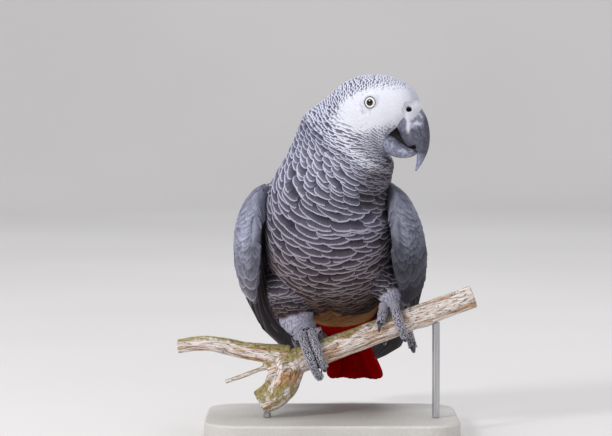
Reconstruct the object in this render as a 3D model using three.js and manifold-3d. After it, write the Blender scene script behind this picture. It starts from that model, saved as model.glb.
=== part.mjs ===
// A life-size grey parrot that grips a short cut length of branch, held by a plain display stand.
// Millimetres, +Z up. The bird faces -Y with its left on +X, turns its head to its left, and the
// origin is the middle of the stand's underside.
//
// The flesh is one loft from the bill's root to the tail coverts, parted by thin cuts. The wings,
// tail, legs, toes, bill and branch are lofts of their own, and each is cut back from what it meets.

import * as THREE from "three";
import { mergeVertices } from "three/addons/utils/BufferGeometryUtils.js";
import Module from "manifold-3d";

const wasm = await Module();
wasm.setup();

// ---------------------------------------------------------------- driving dimensions

const GAP = 0.4; // clearance between neighbouring solids
const PERCH_HEIGHT = 62; // floor to the branch's axis below the bird
const PERCH_FORWARD = -18; // Y of the branch, forward of the stand's middle to balance the tail

const BODY_YAW = -7; // degrees the body turns to its left, from facing -Y
const HEAD_YAW = 68; // the same for the head
const BODY_SHIFT = -2.5; // X of the body's middle plane above the branch
const HEAD_CENTRE = new THREE.Vector3(28, -14, 166); // from the branch's axis below the bird

const BASE = { width: 176, depth: 124, thickness: 11, corner: 26, edge: 1.5 };
const ROD = { radius: 2.6, sides: 20, under: 72 }; // the taller rod stands under this X of the limb

const EYE = { radius: 6, side: 16, forward: 5.4, up: 1.4 };

// ---------------------------------------------------------------- frames and curves

const radians = THREE.MathUtils.degToRad;
const at = (x, y, z) => new THREE.Vector3(x, y, z);
const UP = at(0, 0, 1);

const facing = (yaw) => new THREE.Vector3(Math.sin(radians(yaw)), -Math.cos(radians(yaw)), 0);
const leftOf = (yaw) => new THREE.Vector3(Math.cos(radians(yaw)), Math.sin(radians(yaw)), 0);

// A point given as distances to the left, forwards and up in a frame with that yaw.
function placed(origin, yaw, left, forward, up) {
  return origin
    .clone()
    .addScaledVector(leftOf(yaw), left)
    .addScaledVector(facing(yaw), forward)
    .addScaledVector(UP, up);
}

const inHead = (left, forward, up) => placed(HEAD_CENTRE, HEAD_YAW, left, forward, up);
const inBody = (left, back, up) => placed(at(BODY_SHIFT, 0, 0), BODY_YAW, left, -back, up);

const catmullRom = (a, b, c, d, t) =>
  0.5 * (2 * b + (c - a) * t + (2 * a - 5 * b + 4 * c - d) * t * t + (3 * b - a - 3 * c + d) * t ** 3);

// The stations' fields, numbers and points alike, at place s along the list.
function between(stations, s) {
  const last = stations.length - 1;
  const i = Math.min(Math.floor(s), last - 1);
  const near = [-1, 0, 1, 2].map((k) => stations[THREE.MathUtils.clamp(i + k, 0, last)]);
  const mix = (read) => catmullRom(...near.map(read), s - i);
  const made = {};
  for (const [key, value] of Object.entries(stations[0])) {
    made[key] = value.isVector3
      ? new THREE.Vector3(mix((n) => n[key].x), mix((n) => n[key].y), mix((n) => n[key].z))
      : mix((n) => n[key]);
  }
  return made;
}

const steps = (from, to, count) =>
  Array.from({ length: count + 1 }, (_, i) => from + ((to - from) * i) / count);

// ---------------------------------------------------------------- solids

// A geometry of three.js with its shared vertices merged, so that it is one closed surface.
function merged(geometry) {
  geometry.deleteAttribute("normal");
  geometry.deleteAttribute("uv");
  return mergeVertices(geometry, 1e-4);
}

// The unit direction in which the stations' centres go on at s.
function heading(stations, s) {
  const ahead = between(stations, Math.min(s + 0.02, stations.length - 1)).centre;
  return ahead.sub(between(stations, Math.max(s - 0.02, 0)).centre).normalize();
}

// The places of a loft's rings. A grown loft has one ring more beyond each end.
function places(from, to, count, grown) {
  const list = steps(from, to, count).map((s) => ({ s, beyond: 0 }));
  return grown > 0 ? [{ s: from, beyond: -grown }, ...list, { s: to, beyond: grown }] : list;
}

// A closed surface through rings of points, each end shut by a fan.
function loft(rings) {
  const around = rings[0].length;
  const points = rings.flat();
  const faces = [];
  for (let r = 0; r + 1 < rings.length; r++) {
    for (let i = 0; i < around; i++) {
      const j = (i + 1) % around;
      const [a, b, c, d] = [r * around + i, r * around + j, (r + 1) * around + j, (r + 1) * around + i];
      faces.push(a, b, c, a, c, d);
    }
  }
  [0, rings.length - 1].forEach((r) => {
    const middle = new THREE.Vector3();
    rings[r].forEach((p) => middle.addScaledVector(p, 1 / around));
    const hub = points.push(middle) - 1;
    for (let i = 0; i < around; i++) {
      const edge = [r * around + i, r * around + ((i + 1) % around)];
      faces.push(hub, ...(r === 0 ? edge.reverse() : edge));
    }
  });
  return new THREE.BufferGeometry().setFromPoints(points).setIndex(faces);
}

// An indexed geometry as a manifold-3d solid, turned the right way out.
function solid(geometry) {
  const vertProperties = new Float32Array(geometry.attributes.position.array);
  const build = (triVerts) =>
    new wasm.Manifold(new wasm.Mesh({ numProp: 3, vertProperties, triVerts }));
  const triVerts = new Uint32Array(geometry.index.array);
  const made = build(triVerts);
  return made.volume() > 0 ? made : build(triVerts.reverse());
}

// The largest piece of a solid, without the crumbs that a cut leaves.
function largest(made) {
  return made.decompose().sort((a, b) => b.volume() - a.volume())[0];
}

const part = new THREE.Group();
const bird = new THREE.Group();
bird.position.set(0, PERCH_FORWARD, PERCH_HEIGHT);
part.add(bird);

function add(group, name, made, look) {
  const { numProp, numVert, vertProperties, triVerts } = largest(made).getMesh();
  const position = new Float32Array(numVert * 3);
  for (let i = 0; i < numVert; i++) {
    position.set(vertProperties.subarray(i * numProp, i * numProp + 3), i * 3);
  }
  const geometry = new THREE.BufferGeometry()
    .setAttribute("position", new THREE.BufferAttribute(position, 3))
    .setIndex(new THREE.BufferAttribute(triVerts, 1));
  const mesh = new THREE.Mesh(geometry, look);
  mesh.name = name;
  group.add(mesh);
}

// ---------------------------------------------------------------- materials

const finish = (color, roughness, metalness = 0) =>
  new THREE.MeshStandardMaterial({ color, roughness, metalness, flatShading: true });

const looks = {
  paleGrey: finish(0xc9cad2, 0.9),
  grey: finish(0x85868f, 0.9),
  darkGrey: finish(0x55565e, 0.8),
  red: finish(0xa3111a, 0.85),
  horn: finish(0x4a4b53, 0.45),
  eye: finish(0xe9e3c4, 0.1),
  scales: finish(0x9a9aa4, 0.7),
  wood: finish(0xb59c7e, 0.85),
  base: finish(0xc9c6c1, 0.6),
  steel: finish(0xb8b9bc, 0.3, 1),
};

// ---------------------------------------------------------------- flesh

// A section of the flesh has an origin and a yaw, and in that frame a top and a bottom point, each
// forwards and up. Half is its half width, and level says how far up from its bottom it is widest.
const section = (origin, yaw, top, bottom, half, level = 0.5) => {
  const high = placed(origin, yaw, 0, ...top);
  const low = placed(origin, yaw, 0, ...bottom);
  return { centre: low.clone().lerp(high, level), high, low, yaw, half };
};

const headSection = (top, bottom, half, level, yaw = HEAD_YAW) =>
  section(HEAD_CENTRE, yaw, top, bottom, half, level);
const bodySection = (back, up, top, bottom, half, level) =>
  section(inBody(0, back, up), BODY_YAW, top, bottom, half, level);

const FLESH = [
  headSection([29.5, -4], [27, -9], 4), // the face, behind the bill's root
  headSection([32, 2.5], [24, -13], 12),
  headSection([27.5, 11.5], [20.5, -17], 17), // forehead and gape
  headSection([17, 17.8], [14, -23], 20),
  headSection([3.5, 20.4], [9.3, -30], 21.3), // crown and cheeks
  headSection([-10, 19.3], [8.7, -33.5], 22),
  headSection([-23, 13.5], [9.6, -36.5], 23.5),
  headSection([-34, 4.5], [11.5, -39], 25.5), // nape
  section(at(11, -9, 142.5), 62, [-31, 17], [32, -19], 29),
  section(at(8, -8, 133), 50, [-34, 14.5], [34, -16.5], 33), // throat
  section(at(4, -8, 123), 30, [-36, 13], [37, -14.5], 36.5), // neck
  section(at(-1.5, -6, 111), 10, [-35, 12], [37, -13.5], 40.5),
  section(at(-2.5, -1, 94), -3, [-32, 15], [37, -17], 43), // shoulders
  bodySection(8, 76, [-31, 20], [36, -23.5], 44.5), // breast
  bodySection(22, 58, [-28.5, 22], [32.5, -25.5], 43.5),
  bodySection(40, 41, [-23, 22], [25, -24.5], 38), // belly
  bodySection(62, 27, [-15.5, 18.5], [15.5, -18.5], 31), // vent
  bodySection(84, 14.5, [-7, 11], [7, -11], 25), // tail coverts
  bodySection(112, 1, [-3.5, 6], [3.5, -6], 19),
  bodySection(128, -8, [-1.5, 2.6], [1.5, -2.6], 14),
];

function fleshRing({ s, beyond }, grown, sides) {
  const { centre, high, low, yaw, half } = between(FLESH, s);
  const [upper, lower] = [centre.distanceTo(high), centre.distanceTo(low)];
  const along = high.clone().sub(low).normalize();
  centre.addScaledVector(heading(FLESH, s), beyond);
  return Array.from({ length: sides }, (_, i) => {
    const turn = (2 * Math.PI * i) / sides;
    const reach = (Math.sin(turn) > 0 ? upper : lower) + grown;
    return centre
      .clone()
      .addScaledVector(leftOf(yaw), (half + grown) * Math.cos(turn))
      .addScaledVector(along, reach * Math.sin(turn));
  });
}

const FLESH_SIDES = 22;
const flesh = (from, to, count, grown = 0) =>
  solid(loft(places(from, to, count, grown).map((place) => fleshRing(place, grown, FLESH_SIDES))));

// ---------------------------------------------------------------- wings

// A wing's section is a thin lens that leans in over the back. It has a centre, the half height of
// the folded wing, half its thickness, the lean and the backward tilt of its upper edge, and how
// far both edges wrap round the body.
const wingSection = (left, back, up, height, thick, lean, tilt, wrap) => ({
  centre: at(left, back, up),
  height,
  thick,
  lean,
  tilt,
  wrap,
});

const WING = [
  wingSection(49, -22, 79, 12, 3, 4, 2, 0), // the folded wing's front edge
  wingSection(52.5, -16, 79, 29, 9.5, 5, 3, 3),
  wingSection(55, 8, 73.5, 40, 11, 11, 7, 9.5), // forearm
  wingSection(52, 34, 57.5, 39.5, 10, 17.5, 13, 11),
  wingSection(43.2, 62, 35, 32, 8, 28.4, 15, 10), // secondaries
  wingSection(28.7, 91, 12, 22, 6, 41.9, 14, 5),
  wingSection(22, 125, -9, 13, 4, 28, 19, 2), // primaries
  wingSection(14, 153, -21, 5.5, 2, 30, 20, 0),
  wingSection(10, 165, -25, 1.5, 0.8, 30, 20, 0),
];

function wingRing(side, { s, beyond }, grown, sides) {
  const { centre, height, thick, lean, tilt, wrap } = between(WING, s);
  centre.addScaledVector(heading(WING, s), beyond);
  const tall = at(-Math.sin(radians(lean)), Math.sin(radians(tilt)), Math.cos(radians(tilt)));
  const out = at(Math.cos(radians(lean)), 0, Math.sin(radians(lean)));
  return Array.from({ length: sides }, (_, i) => {
    const turn = (2 * Math.PI * i) / sides;
    const across = (thick + grown) * Math.cos(turn) - wrap * Math.sin(turn) ** 2;
    const p = centre
      .clone()
      .addScaledVector(tall, (height + grown) * Math.sin(turn))
      .addScaledVector(out, across);
    return inBody(side * p.x, p.y, p.z);
  });
}

const wing = (side, from, to, count, grown = 0) =>
  solid(loft(places(from, to, count, grown).map((place) => wingRing(side, place, grown, 16))));

// ---------------------------------------------------------------- tail

// The tail is a short fan of overlapping feathers, made as one closed surface. Its sections run
// along the feathers, and follow one another from the bird's right to its left.
const TAIL = {
  root: [2, 96, 5], // left, back and up
  slope: 32, // degrees below level
  length: 94,
  thickness: 1.8,
  feathers: 12,
  rootHalf: 8, // half the fan's width at its root
  spread: 10.5, // degrees between its outermost feather and its middle
  arch: 1.6, // its sides hang this much lower than its middle
  step: 0.9, // each feather's outer edge stands this much over the next one
  rounding: 0.035, // part of the length by which a feather's edges fall short of its tip
};

function tailRing(feather, across) {
  const fromEdge = (feather + across) / TAIL.feathers;
  const place = 2 * fromEdge - 1;
  const outward = place < 0 ? 1 - across : across;
  const angle = radians(TAIL.spread * place);
  const length = TAIL.length * (1 - 0.05 * place ** 2 - TAIL.rounding * (2 * across - 1) ** 2);
  const [left, back, up] = TAIL.root;
  const [c, s] = [Math.cos(radians(TAIL.slope)), Math.sin(radians(TAIL.slope))];
  const point = (t, face) => {
    const along = length * t * Math.cos(angle);
    const aside = TAIL.rootHalf * place + length * t * Math.sin(angle);
    const thickness = TAIL.thickness * (t === 1 ? 0.4 : 1);
    const height = (face * thickness) / 2 - TAIL.arch * place ** 2 * t + TAIL.step * (outward - 0.5);
    return inBody(left + aside, back + along * c + height * s, up - along * s + height * c);
  };
  const reach = [0, 0.5, 0.88, 1];
  return [...reach.map((t) => point(t, 1)), ...reach.reverse().map((t) => point(t, -1))];
}

function tail() {
  const feathers = Array.from({ length: TAIL.feathers }, (_, i) => i);
  const rings = feathers.flatMap((i) => [0.03, 0.5, 0.97].map((across) => tailRing(i, across)));
  return solid(loft(rings));
}

// ---------------------------------------------------------------- tubes

const station = (centre, radius) => ({ centre, radius });

// A solid tube of changing radius through stations. The sideways vector sets how its rings stand,
// and isn't in line with the tube anywhere.
function tube(stations, count, sides, sideways, grown = 0) {
  const rings = places(0, stations.length - 1, count, grown).map(({ s, beyond }) => {
    const { centre, radius } = between(stations, s);
    const along = heading(stations, s);
    const across = sideways.clone().addScaledVector(along, -along.dot(sideways)).normalize();
    const third = along.clone().cross(across);
    centre.addScaledVector(along, beyond);
    return Array.from({ length: sides }, (_, k) => {
      const turn = (2 * Math.PI * k) / sides;
      return centre
        .clone()
        .addScaledVector(across, (radius + grown) * Math.cos(turn))
        .addScaledVector(third, (radius + grown) * Math.sin(turn));
    });
  });
  return solid(loft(rings));
}

// ---------------------------------------------------------------- branch

// The main limb runs along X from the fork past both feet, and rises to the bird's left.
const LIMB = { from: -44, to: 98, level: -2.7, slope: 0.37, thick: 9.6, thin: 8.2 };
const DEPTHWISE = at(0, 1, 0);

function limbStation(x) {
  const t = (x - LIMB.from) / (LIMB.to - LIMB.from);
  return station(at(x, 0, LIMB.level + LIMB.slope * x), LIMB.thick + (LIMB.thin - LIMB.thick) * t);
}

const LIMB_STATIONS = [LIMB.from, LIMB.to].map(limbStation);
const STUB_STATIONS = [
  station(at(-30, 0, -8), 8),
  station(at(-60, -1, -4), 6.6),
  station(at(-84, -2, 1), 5.6),
  station(at(-107, -2, -1), 5.4),
];
const LOWER_STATIONS = [
  station(at(-28, 0, -5), 5),
  station(at(-30, 0, -12), 11.5),
  station(at(-33, 1, -24), 12),
  station(at(-39, 2, -34), 10.8),
  station(at(-50, 3, -41), 9.2),
];
const TWIG_STATIONS = [
  station(at(-42, -2, -14), 2.6),
  station(at(-58, -4, -20), 2.2),
  station(at(-74, -5, -25.5), 1.8),
];

// ---------------------------------------------------------------- feet

// A toe follows the limb's surface. Angles go round the limb, from 0 at its front over 90 on top to
// 180 behind. A toe's ends are distances along X from the middle of the foot. Loose is how far its
// end stands off the bark, and claw is how far round the limb its claw goes on.
const TOE_RADIUS = 3.5;
const KNUCKLE = 2.2; // the toes' roots stand this much off the bark
const CLAW = { root: 1.9, tip: 0.4, arch: 1.6 };
const toe = (name, from, to, start, end, claw, loose = 0) => ({ name, from, to, start, end, claw, loose });

// A thigh's stations run from the ankle up into the flank.
const FEET = [
  {
    side: "right",
    place: -17,
    toes: [
      toe("outer_front", -3.4, 8.6, 84, -70, 34, 3.5),
      toe("inner_front", 3.2, 11.5, 84, -46, 40),
      toe("outer_back", -7.5, -1, 106, 200, 34),
      toe("inner_back", 6.5, 12, 106, 208, 44),
    ],
    heel: at(-20, 17, 11),
    thigh: [
      station(inBody(-15, 9, 7.5), 7.6),
      station(inBody(-22.5, 9, 17), 12.8),
      station(inBody(-26, 11, 33), 18),
      station(inBody(-25, 15, 48), 20),
    ],
  },
  {
    side: "left",
    place: 41,
    toes: [
      toe("outer_front", 1.5, 9, 84, -46, 44),
      toe("inner_front", -5, -8.2, 90, 28, 26),
      toe("outer_back", 6.5, 15.5, 106, 240, 30, 11),
      toe("inner_back", -2, -4, 106, 208, 44),
    ],
    heel: at(47, 16, 33),
    thigh: [
      station(inBody(45, 8, 29.5), 6.8),
      station(inBody(41, 8, 38), 11),
      station(inBody(34, 11, 48), 16),
      station(inBody(27, 16, 58), 19),
    ],
  },
];

// A point round the limb in the upright plane at x, clear of its bark by a distance.
function onLimb(x, angle, clear) {
  const { centre, radius } = limbStation(x);
  const steepness = Math.hypot(1, LIMB.slope);
  const rise = (radius + clear) * steepness * Math.sin(radians(angle));
  return centre.add(at(0, -(radius + clear) * Math.cos(radians(angle)), rise));
}

function toeStations(foot, shape) {
  return steps(0, 1, 7).map((t) => {
    const radius = TOE_RADIUS * (1 - 0.2 * t) * (1 + 0.08 * Math.cos(4 * Math.PI * t));
    const x = foot.place + THREE.MathUtils.lerp(shape.from, shape.to, t ** 1.4);
    const angle = THREE.MathUtils.lerp(shape.start, shape.end, t);
    const clear = GAP + KNUCKLE * (1 - t) ** 2 + shape.loose * t ** 2;
    return station(onLimb(x, angle, radius + clear), radius);
  });
}

// A claw goes on from its toe round the limb, arches out, and ends with its point near the bark.
function clawStations(foot, shape) {
  const turn = Math.sign(shape.end - shape.start);
  const drift = (0.5 * (shape.to - shape.from) * shape.claw) / Math.abs(shape.end - shape.start);
  return steps(0, 1, 5).map((t) => {
    const radius = THREE.MathUtils.lerp(CLAW.root, CLAW.tip, t);
    const clear = THREE.MathUtils.lerp(TOE_RADIUS * 0.8 + shape.loose, CLAW.tip + shape.loose * 0.6, t * t);
    const angle = shape.end + turn * (1.5 + shape.claw * t);
    const arched = clear + CLAW.arch * Math.sin(Math.PI * t) + GAP;
    return station(onLimb(foot.place + shape.to + drift * t, angle, arched), radius);
  });
}

const SIDEWAYS = at(1, 0, 0);
function tarsusStations(foot) {
  const sole = onLimb(foot.place, 92, TOE_RADIUS + KNUCKLE);
  return [station(sole, 4.4), station(sole.clone().lerp(foot.heel, 0.5), 4.4), station(foot.heel, 4.8)];
}

// ---------------------------------------------------------------- bill and eyes

// A section of the bill runs from a ridge to an edge, both given forwards and up in the head's frame.
const billSection = (ridge, edge, half) => ({
  ridge: at(0, ...ridge),
  centre: at(0, ...ridge).lerp(at(0, ...edge), 0.5),
  half,
});

const UPPER_BILL = [
  billSection([27, -3], [13, -14], 9), // root, within the face
  billSection([33.5, -2], [18.4, -16.2], 11),
  billSection([38.2, -9], [22, -23.8], 10.4),
  billSection([40.4, -19], [26.2, -28.7], 8.8),
  billSection([39.8, -29.3], [31.2, -28], 6.2),
  billSection([36, -38.5], [31.9, -36.6], 3.2),
  billSection([31.1, -45.3], [30.3, -44.6], 0.7), // hooked tip
];
const LOWER_BILL = [
  billSection([7.3, -31.5], [12.4, -17.8], 8.5), // root, within the chin
  billSection([12.2, -34.4], [16.6, -21.2], 9.7),
  billSection([18.8, -36.4], [21.6, -25.8], 9.2),
  billSection([25.4, -36.2], [26.6, -29.3], 7.4),
  billSection([29.4, -34.9], [30, -30.3], 5),
  billSection([31, -33.6], [31.4, -31.6], 2.4),
];
const CERE = { forward: 28.5, up: -5.5, half: 11.8, long: 6.8, high: 8.6 };

// The ridge is narrower than the edge, as in a keel.
function bill(stations, count, grown = 0) {
  const rings = places(0, stations.length - 1, count, grown).map(({ s, beyond }) => {
    const { ridge, centre, half } = between(stations, s);
    const tall = ridge.sub(centre);
    const height = tall.length();
    tall.normalize();
    centre.addScaledVector(heading(stations, s), beyond);
    return Array.from({ length: 12 }, (_, k) => {
      const turn = (2 * Math.PI * k) / 12;
      const rise = (height + grown) * Math.sin(turn);
      const aside = (half + grown) * Math.cos(turn) * (1 - 0.22 * Math.sin(turn));
      return inHead(aside, centre.y + rise * tall.y, centre.z + rise * tall.z);
    });
  });
  return solid(loft(rings));
}

function ellipsoid(centre, yaw, half, long, high, detail) {
  const shape = merged(new THREE.SphereGeometry(1, detail, Math.round(detail * 0.6)));
  shape.scale(half, long, high).rotateZ(radians(yaw)).translate(centre.x, centre.y, centre.z);
  return solid(shape);
}

const eye = (side, grown = 0) => {
  const radius = EYE.radius + grown;
  return ellipsoid(inHead(side * EYE.side, EYE.forward, EYE.up), HEAD_YAW, radius, radius, radius, 12);
};

const cere = (grown = 0) =>
  ellipsoid(
    inHead(0, CERE.forward, CERE.up),
    HEAD_YAW,
    CERE.half + grown,
    CERE.long + grown,
    CERE.high + grown,
    12,
  );

// ---------------------------------------------------------------- stand

function base() {
  const { width, depth, thickness, corner, edge } = BASE;
  const [w, d] = [width / 2 - edge, depth / 2 - edge];
  const r = corner - edge;
  const outline = new THREE.Shape()
    .moveTo(r - w, -d)
    .lineTo(w - r, -d)
    .absarc(w - r, r - d, r, -Math.PI / 2, 0)
    .lineTo(w, d - r)
    .absarc(w - r, d - r, r, 0, Math.PI / 2)
    .lineTo(r - w, d)
    .absarc(r - w, d - r, r, Math.PI / 2, Math.PI)
    .lineTo(-w, r - d)
    .absarc(r - w, r - d, r, Math.PI, 1.5 * Math.PI);
  const block = new THREE.ExtrudeGeometry(outline, {
    depth: thickness - 2 * edge,
    bevelThickness: edge,
    bevelSize: edge,
    bevelSegments: 1,
    curveSegments: 4,
  });
  return solid(merged(block.translate(0, 0, edge)));
}

// A rod from the base's top up to a point in the perch, in the bird's frame.
function rod({ x, y, z }) {
  const bottom = BASE.thickness + GAP - PERCH_HEIGHT;
  const shape = new THREE.CylinderGeometry(ROD.radius, ROD.radius, z - bottom, ROD.sides)
    .rotateX(Math.PI / 2)
    .translate(x, y, (z + bottom) / 2);
  return solid(merged(shape));
}

// ---------------------------------------------------------------- assembly

const CUTS = { neck: 7, shoulders: 11.4, vent: 15.6, end: FLESH.length - 1, wing: 4.3 };
const OVERLAP = 0.4; // along the list of sections, how far a piece starts before its cut
const FLESH_MESH = [
  ["head", 0, CUTS.neck, 11, looks.paleGrey],
  ["neck", CUTS.neck, CUTS.shoulders, 7, looks.grey],
  ["trunk", CUTS.shoulders, CUTS.vent, 7, looks.grey],
  ["tail_coverts", CUTS.vent, CUTS.end, 6, looks.red],
];
const WING_MESH = [
  ["coverts", 0, CUTS.wing, 9, looks.grey],
  ["flight_feathers", CUTS.wing - OVERLAP, WING.length - 1, 8, looks.darkGrey],
];
const SIDES = { right: -1, left: 1 };

// The cutter that parts two pieces of flesh, from before their cut at s to GAP beyond it.
const PARTING_MARGIN = 6; // how far it reaches out of the flesh
const parting = (s) => {
  const rings = [{ s: s - 2 * OVERLAP, beyond: 0 }, { s, beyond: 0 }, { s, beyond: GAP }];
  return solid(loft(rings.map((place) => fleshRing(place, PARTING_MARGIN, FLESH_SIDES))));
};

const minus = (made, ...others) => others.reduce((rest, other) => rest.subtract(other), made);

const limb = (grown) => tube(LIMB_STATIONS, 6, 14, DEPTHWISE, grown);
const stub = (grown) => tube(STUB_STATIONS, 6, 12, DEPTHWISE, grown);
const lower = (grown) => tube(LOWER_STATIONS, 5, 12, DEPTHWISE, grown);
const twig = tube(TWIG_STATIONS, 3, 7, DEPTHWISE);
add(bird, "perch_limb", limb(), looks.wood);
add(bird, "perch_stub", minus(stub(), limb(GAP)), looks.wood);
add(bird, "perch_lower", minus(lower(), limb(GAP), stub(GAP)), looks.wood);
add(bird, "perch_twig", minus(twig, limb(GAP), stub(GAP), lower(GAP)), looks.wood);

add(part, "stand_base", base(), looks.base);
const lowerEnd = between(LOWER_STATIONS, 3.5).centre;
add(bird, "stand_rod_1", minus(rod(lowerEnd), lower(GAP)), looks.steel);
add(bird, "stand_rod_2", minus(rod(limbStation(ROD.under).centre), limb(GAP)), looks.steel);

const upperBill = (grown) => bill(UPPER_BILL, 10, grown);
const lowerBill = (grown) => bill(LOWER_BILL, 7, grown);
add(bird, "bill_upper", upperBill(), looks.horn);
add(bird, "bill_lower", minus(lowerBill(), upperBill(GAP)), looks.horn);
add(bird, "cere", minus(cere(), upperBill(GAP), lowerBill(GAP)), looks.paleGrey);

const body = flesh(CUTS.shoulders, CUTS.vent, 7, GAP);
const wingPiece = (side, [, from, to, count], grown = 0) => wing(side, from, to, count, grown);
const wings = Object.values(SIDES).flatMap((side) => WING_MESH.map((row) => wingPiece(side, row, GAP)));
FEET.forEach((foot) => {
  const thigh = (grown) => tube(foot.thigh, 5, 12, at(0.3, 1, 0), grown);
  const tarsus = (grown) => tube(tarsusStations(foot), 5, 8, SIDEWAYS, grown);
  add(bird, `thigh_${foot.side}`, minus(thigh(), body, limb(GAP), ...wings), looks.paleGrey);
  const laid = [limb(GAP), stub(GAP), lower(GAP), thigh(GAP), ...wings];
  add(bird, `tarsus_${foot.side}`, minus(tarsus(), body, ...laid), looks.scales);
  laid.push(tarsus(GAP));
  foot.toes.forEach((shape) => {
    const made = (grown) => tube(toeStations(foot, shape), 6, 6, SIDEWAYS, grown);
    const claw = (grown) => tube(clawStations(foot, shape), 4, 5, SIDEWAYS, grown);
    add(bird, `toe_${foot.side}_${shape.name}`, minus(made(), ...laid), looks.scales);
    add(bird, `claw_${foot.side}_${shape.name}`, minus(claw(), ...laid, made(GAP)), looks.horn);
    laid.push(made(GAP), claw(GAP));
  });
});

// Each piece of the flesh starts a little early, and is cut back to leave GAP to the one before it.
const headCuts = [upperBill(GAP), lowerBill(GAP), cere(GAP), eye(-1, GAP), eye(1, GAP)];
FLESH_MESH.forEach(([name, from, to, count, look], i) => {
  const whole = flesh(Math.max(0, from - OVERLAP), to, count);
  const cuts = i === 0 ? headCuts : [parting(from)];
  add(bird, name, minus(whole, ...cuts, ...wings), look);
});
add(bird, "tail", minus(tail(), flesh(CUTS.vent, CUTS.end, 6, GAP), ...wings), looks.red);

Object.entries(SIDES).forEach(([name, side]) => {
  add(bird, `eye_${name}`, eye(side), looks.eye);
  const [coverts, flights] = WING_MESH;
  add(bird, `wing_${name}_${coverts[0]}`, wingPiece(side, coverts), coverts[4]);
  const rest = minus(wingPiece(side, flights), wingPiece(side, coverts, GAP));
  add(bird, `wing_${name}_${flights[0]}`, rest, flights[4]);
});

export default part;
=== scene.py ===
"""A life-size grey parrot that grips a short cut length of branch, on a plain display stand.

Sizes are in millimetres in the bird's frame, whose origin is on the branch's axis below the bird,
until metres() turns them into the row frame. The surfaces repeat the solids' own stations, so the
skin and the roots of the coat lie just inside the solids and the tips of the coat end on them.
"""

import math
from itertools import product
from types import SimpleNamespace as Sizes

import bmesh
import bpy
import numpy as np
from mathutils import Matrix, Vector
from mathutils.kdtree import KDTree


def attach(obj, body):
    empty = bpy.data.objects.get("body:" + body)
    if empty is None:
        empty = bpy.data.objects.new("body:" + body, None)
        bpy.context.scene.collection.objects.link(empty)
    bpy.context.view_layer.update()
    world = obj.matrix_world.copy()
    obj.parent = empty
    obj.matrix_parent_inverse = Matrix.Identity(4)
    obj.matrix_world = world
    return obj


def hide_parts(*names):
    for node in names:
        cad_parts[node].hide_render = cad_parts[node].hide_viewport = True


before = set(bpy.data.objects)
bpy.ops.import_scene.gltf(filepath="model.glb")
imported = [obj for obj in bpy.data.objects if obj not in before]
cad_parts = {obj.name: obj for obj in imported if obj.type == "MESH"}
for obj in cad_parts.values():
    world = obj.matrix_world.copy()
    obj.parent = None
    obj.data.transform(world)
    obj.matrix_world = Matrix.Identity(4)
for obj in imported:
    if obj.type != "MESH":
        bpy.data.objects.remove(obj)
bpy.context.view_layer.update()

# ---- frames and curves

BIRD = np.array([0, -18, 62])  # the bird's frame in the row frame
BODY_YAW = -7
HEAD_YAW = 68
BODY = np.array([-2.5, 0, 0])
HEAD = np.array([28, -14, 166])
UP = np.array([0, 0, 1.0])
SIDES = {"right": -1, "left": 1}
FULL_TURN = 2 * math.pi
rng = np.random.default_rng(11)


def metres(points):
    return (np.asarray(points) + BIRD) * 0.001


def facing(yaw):
    return np.array([math.sin(math.radians(yaw)), -math.cos(math.radians(yaw)), 0])


def left_of(yaw):
    return np.array([math.cos(math.radians(yaw)), math.sin(math.radians(yaw)), 0])


def placed(origin, yaw, left, forward, up):
    """The point or points so far left, forward and up of the origin."""
    steps = zip((left, forward, up), (left_of(yaw), facing(yaw), UP))
    return origin + sum(np.multiply.outer(step, way) for step, way in steps)


def in_head(left, forward, up):
    return placed(HEAD, HEAD_YAW, left, forward, up)


def in_body(left, back, up):
    return placed(BODY, BODY_YAW, left, -back, up)


def at(*numbers):
    return np.array(numbers, float)


def unit(vectors):
    return vectors / np.maximum(np.linalg.norm(vectors, axis=-1, keepdims=True), 1e-9)


def mix(a, b, t):
    return a + (b - a) * t


def tint(a, b, t):
    """Mixes colours, or one colour with many, by a share for each point."""
    return a + (b - a) * t[:, None]


def smooth(low, high, x):
    t = np.clip((x - low) / (high - low), 0, 1)
    return t * t * (3 - 2 * t)


def bell(x, middle, reach):
    return np.exp(-(((x - middle) / reach) ** 2))


def between(rows, s):
    """The rows of numbers at each place s along them, on a Catmull-Rom curve."""
    last = len(rows) - 1
    i = np.clip(np.floor(s).astype(int), 0, last - 1)
    t = (s - i)[:, None]
    a, b, c, d = (rows[np.clip(i + k, 0, last)] for k in (-1, 0, 1, 2))
    return 0.5 * (2 * b + (c - a) * t + (2 * a - 5 * b + 4 * c - d) * t**2 + (3 * b - a - 3 * c + d) * t**3)


def crossed(first, second):
    """Every value of the first with every value of the second, as two flat arrays."""
    return [a.ravel() for a in np.meshgrid(first, second, indexing="ij")]


def travelled(points):
    """The distance along a line of points at each of them."""
    return np.concatenate([[0], np.cumsum(np.linalg.norm(np.diff(points, axis=0), axis=1))])


def noise(points, size, seed=0):
    """Smooth noise from -1 to 1 whose lumps have about that size."""
    q = points / size + seed * 7.31
    base = np.floor(q).astype(np.int64)
    f = q - base
    f = f * f * (3 - 2 * f)
    total = np.zeros(len(points))
    for corner in product((0, 1), repeat=3):
        cell = base + corner
        mixed = cell[:, 0] * 73856093 ^ cell[:, 1] * 19349663 ^ cell[:, 2] * 83492791
        value = ((mixed * 2654435761) % 65521) / 32760 - 1
        total += value * np.prod(np.where(corner, f, 1 - f), axis=1)
    return total


def srgb(red, green, blue):
    """A colour from 0 to 255 a channel, as the linear numbers that the shaders take."""
    c = np.array([red, green, blue]) / 255
    return np.where(c <= 0.04045, c / 12.92, ((c + 0.055) / 1.055) ** 2.4)


# ---- surfaces
# Each takes arrays of places s along its stations, of turns round them, and of how far the point
# lifts off the solid's surface, which is negative within it.


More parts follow.
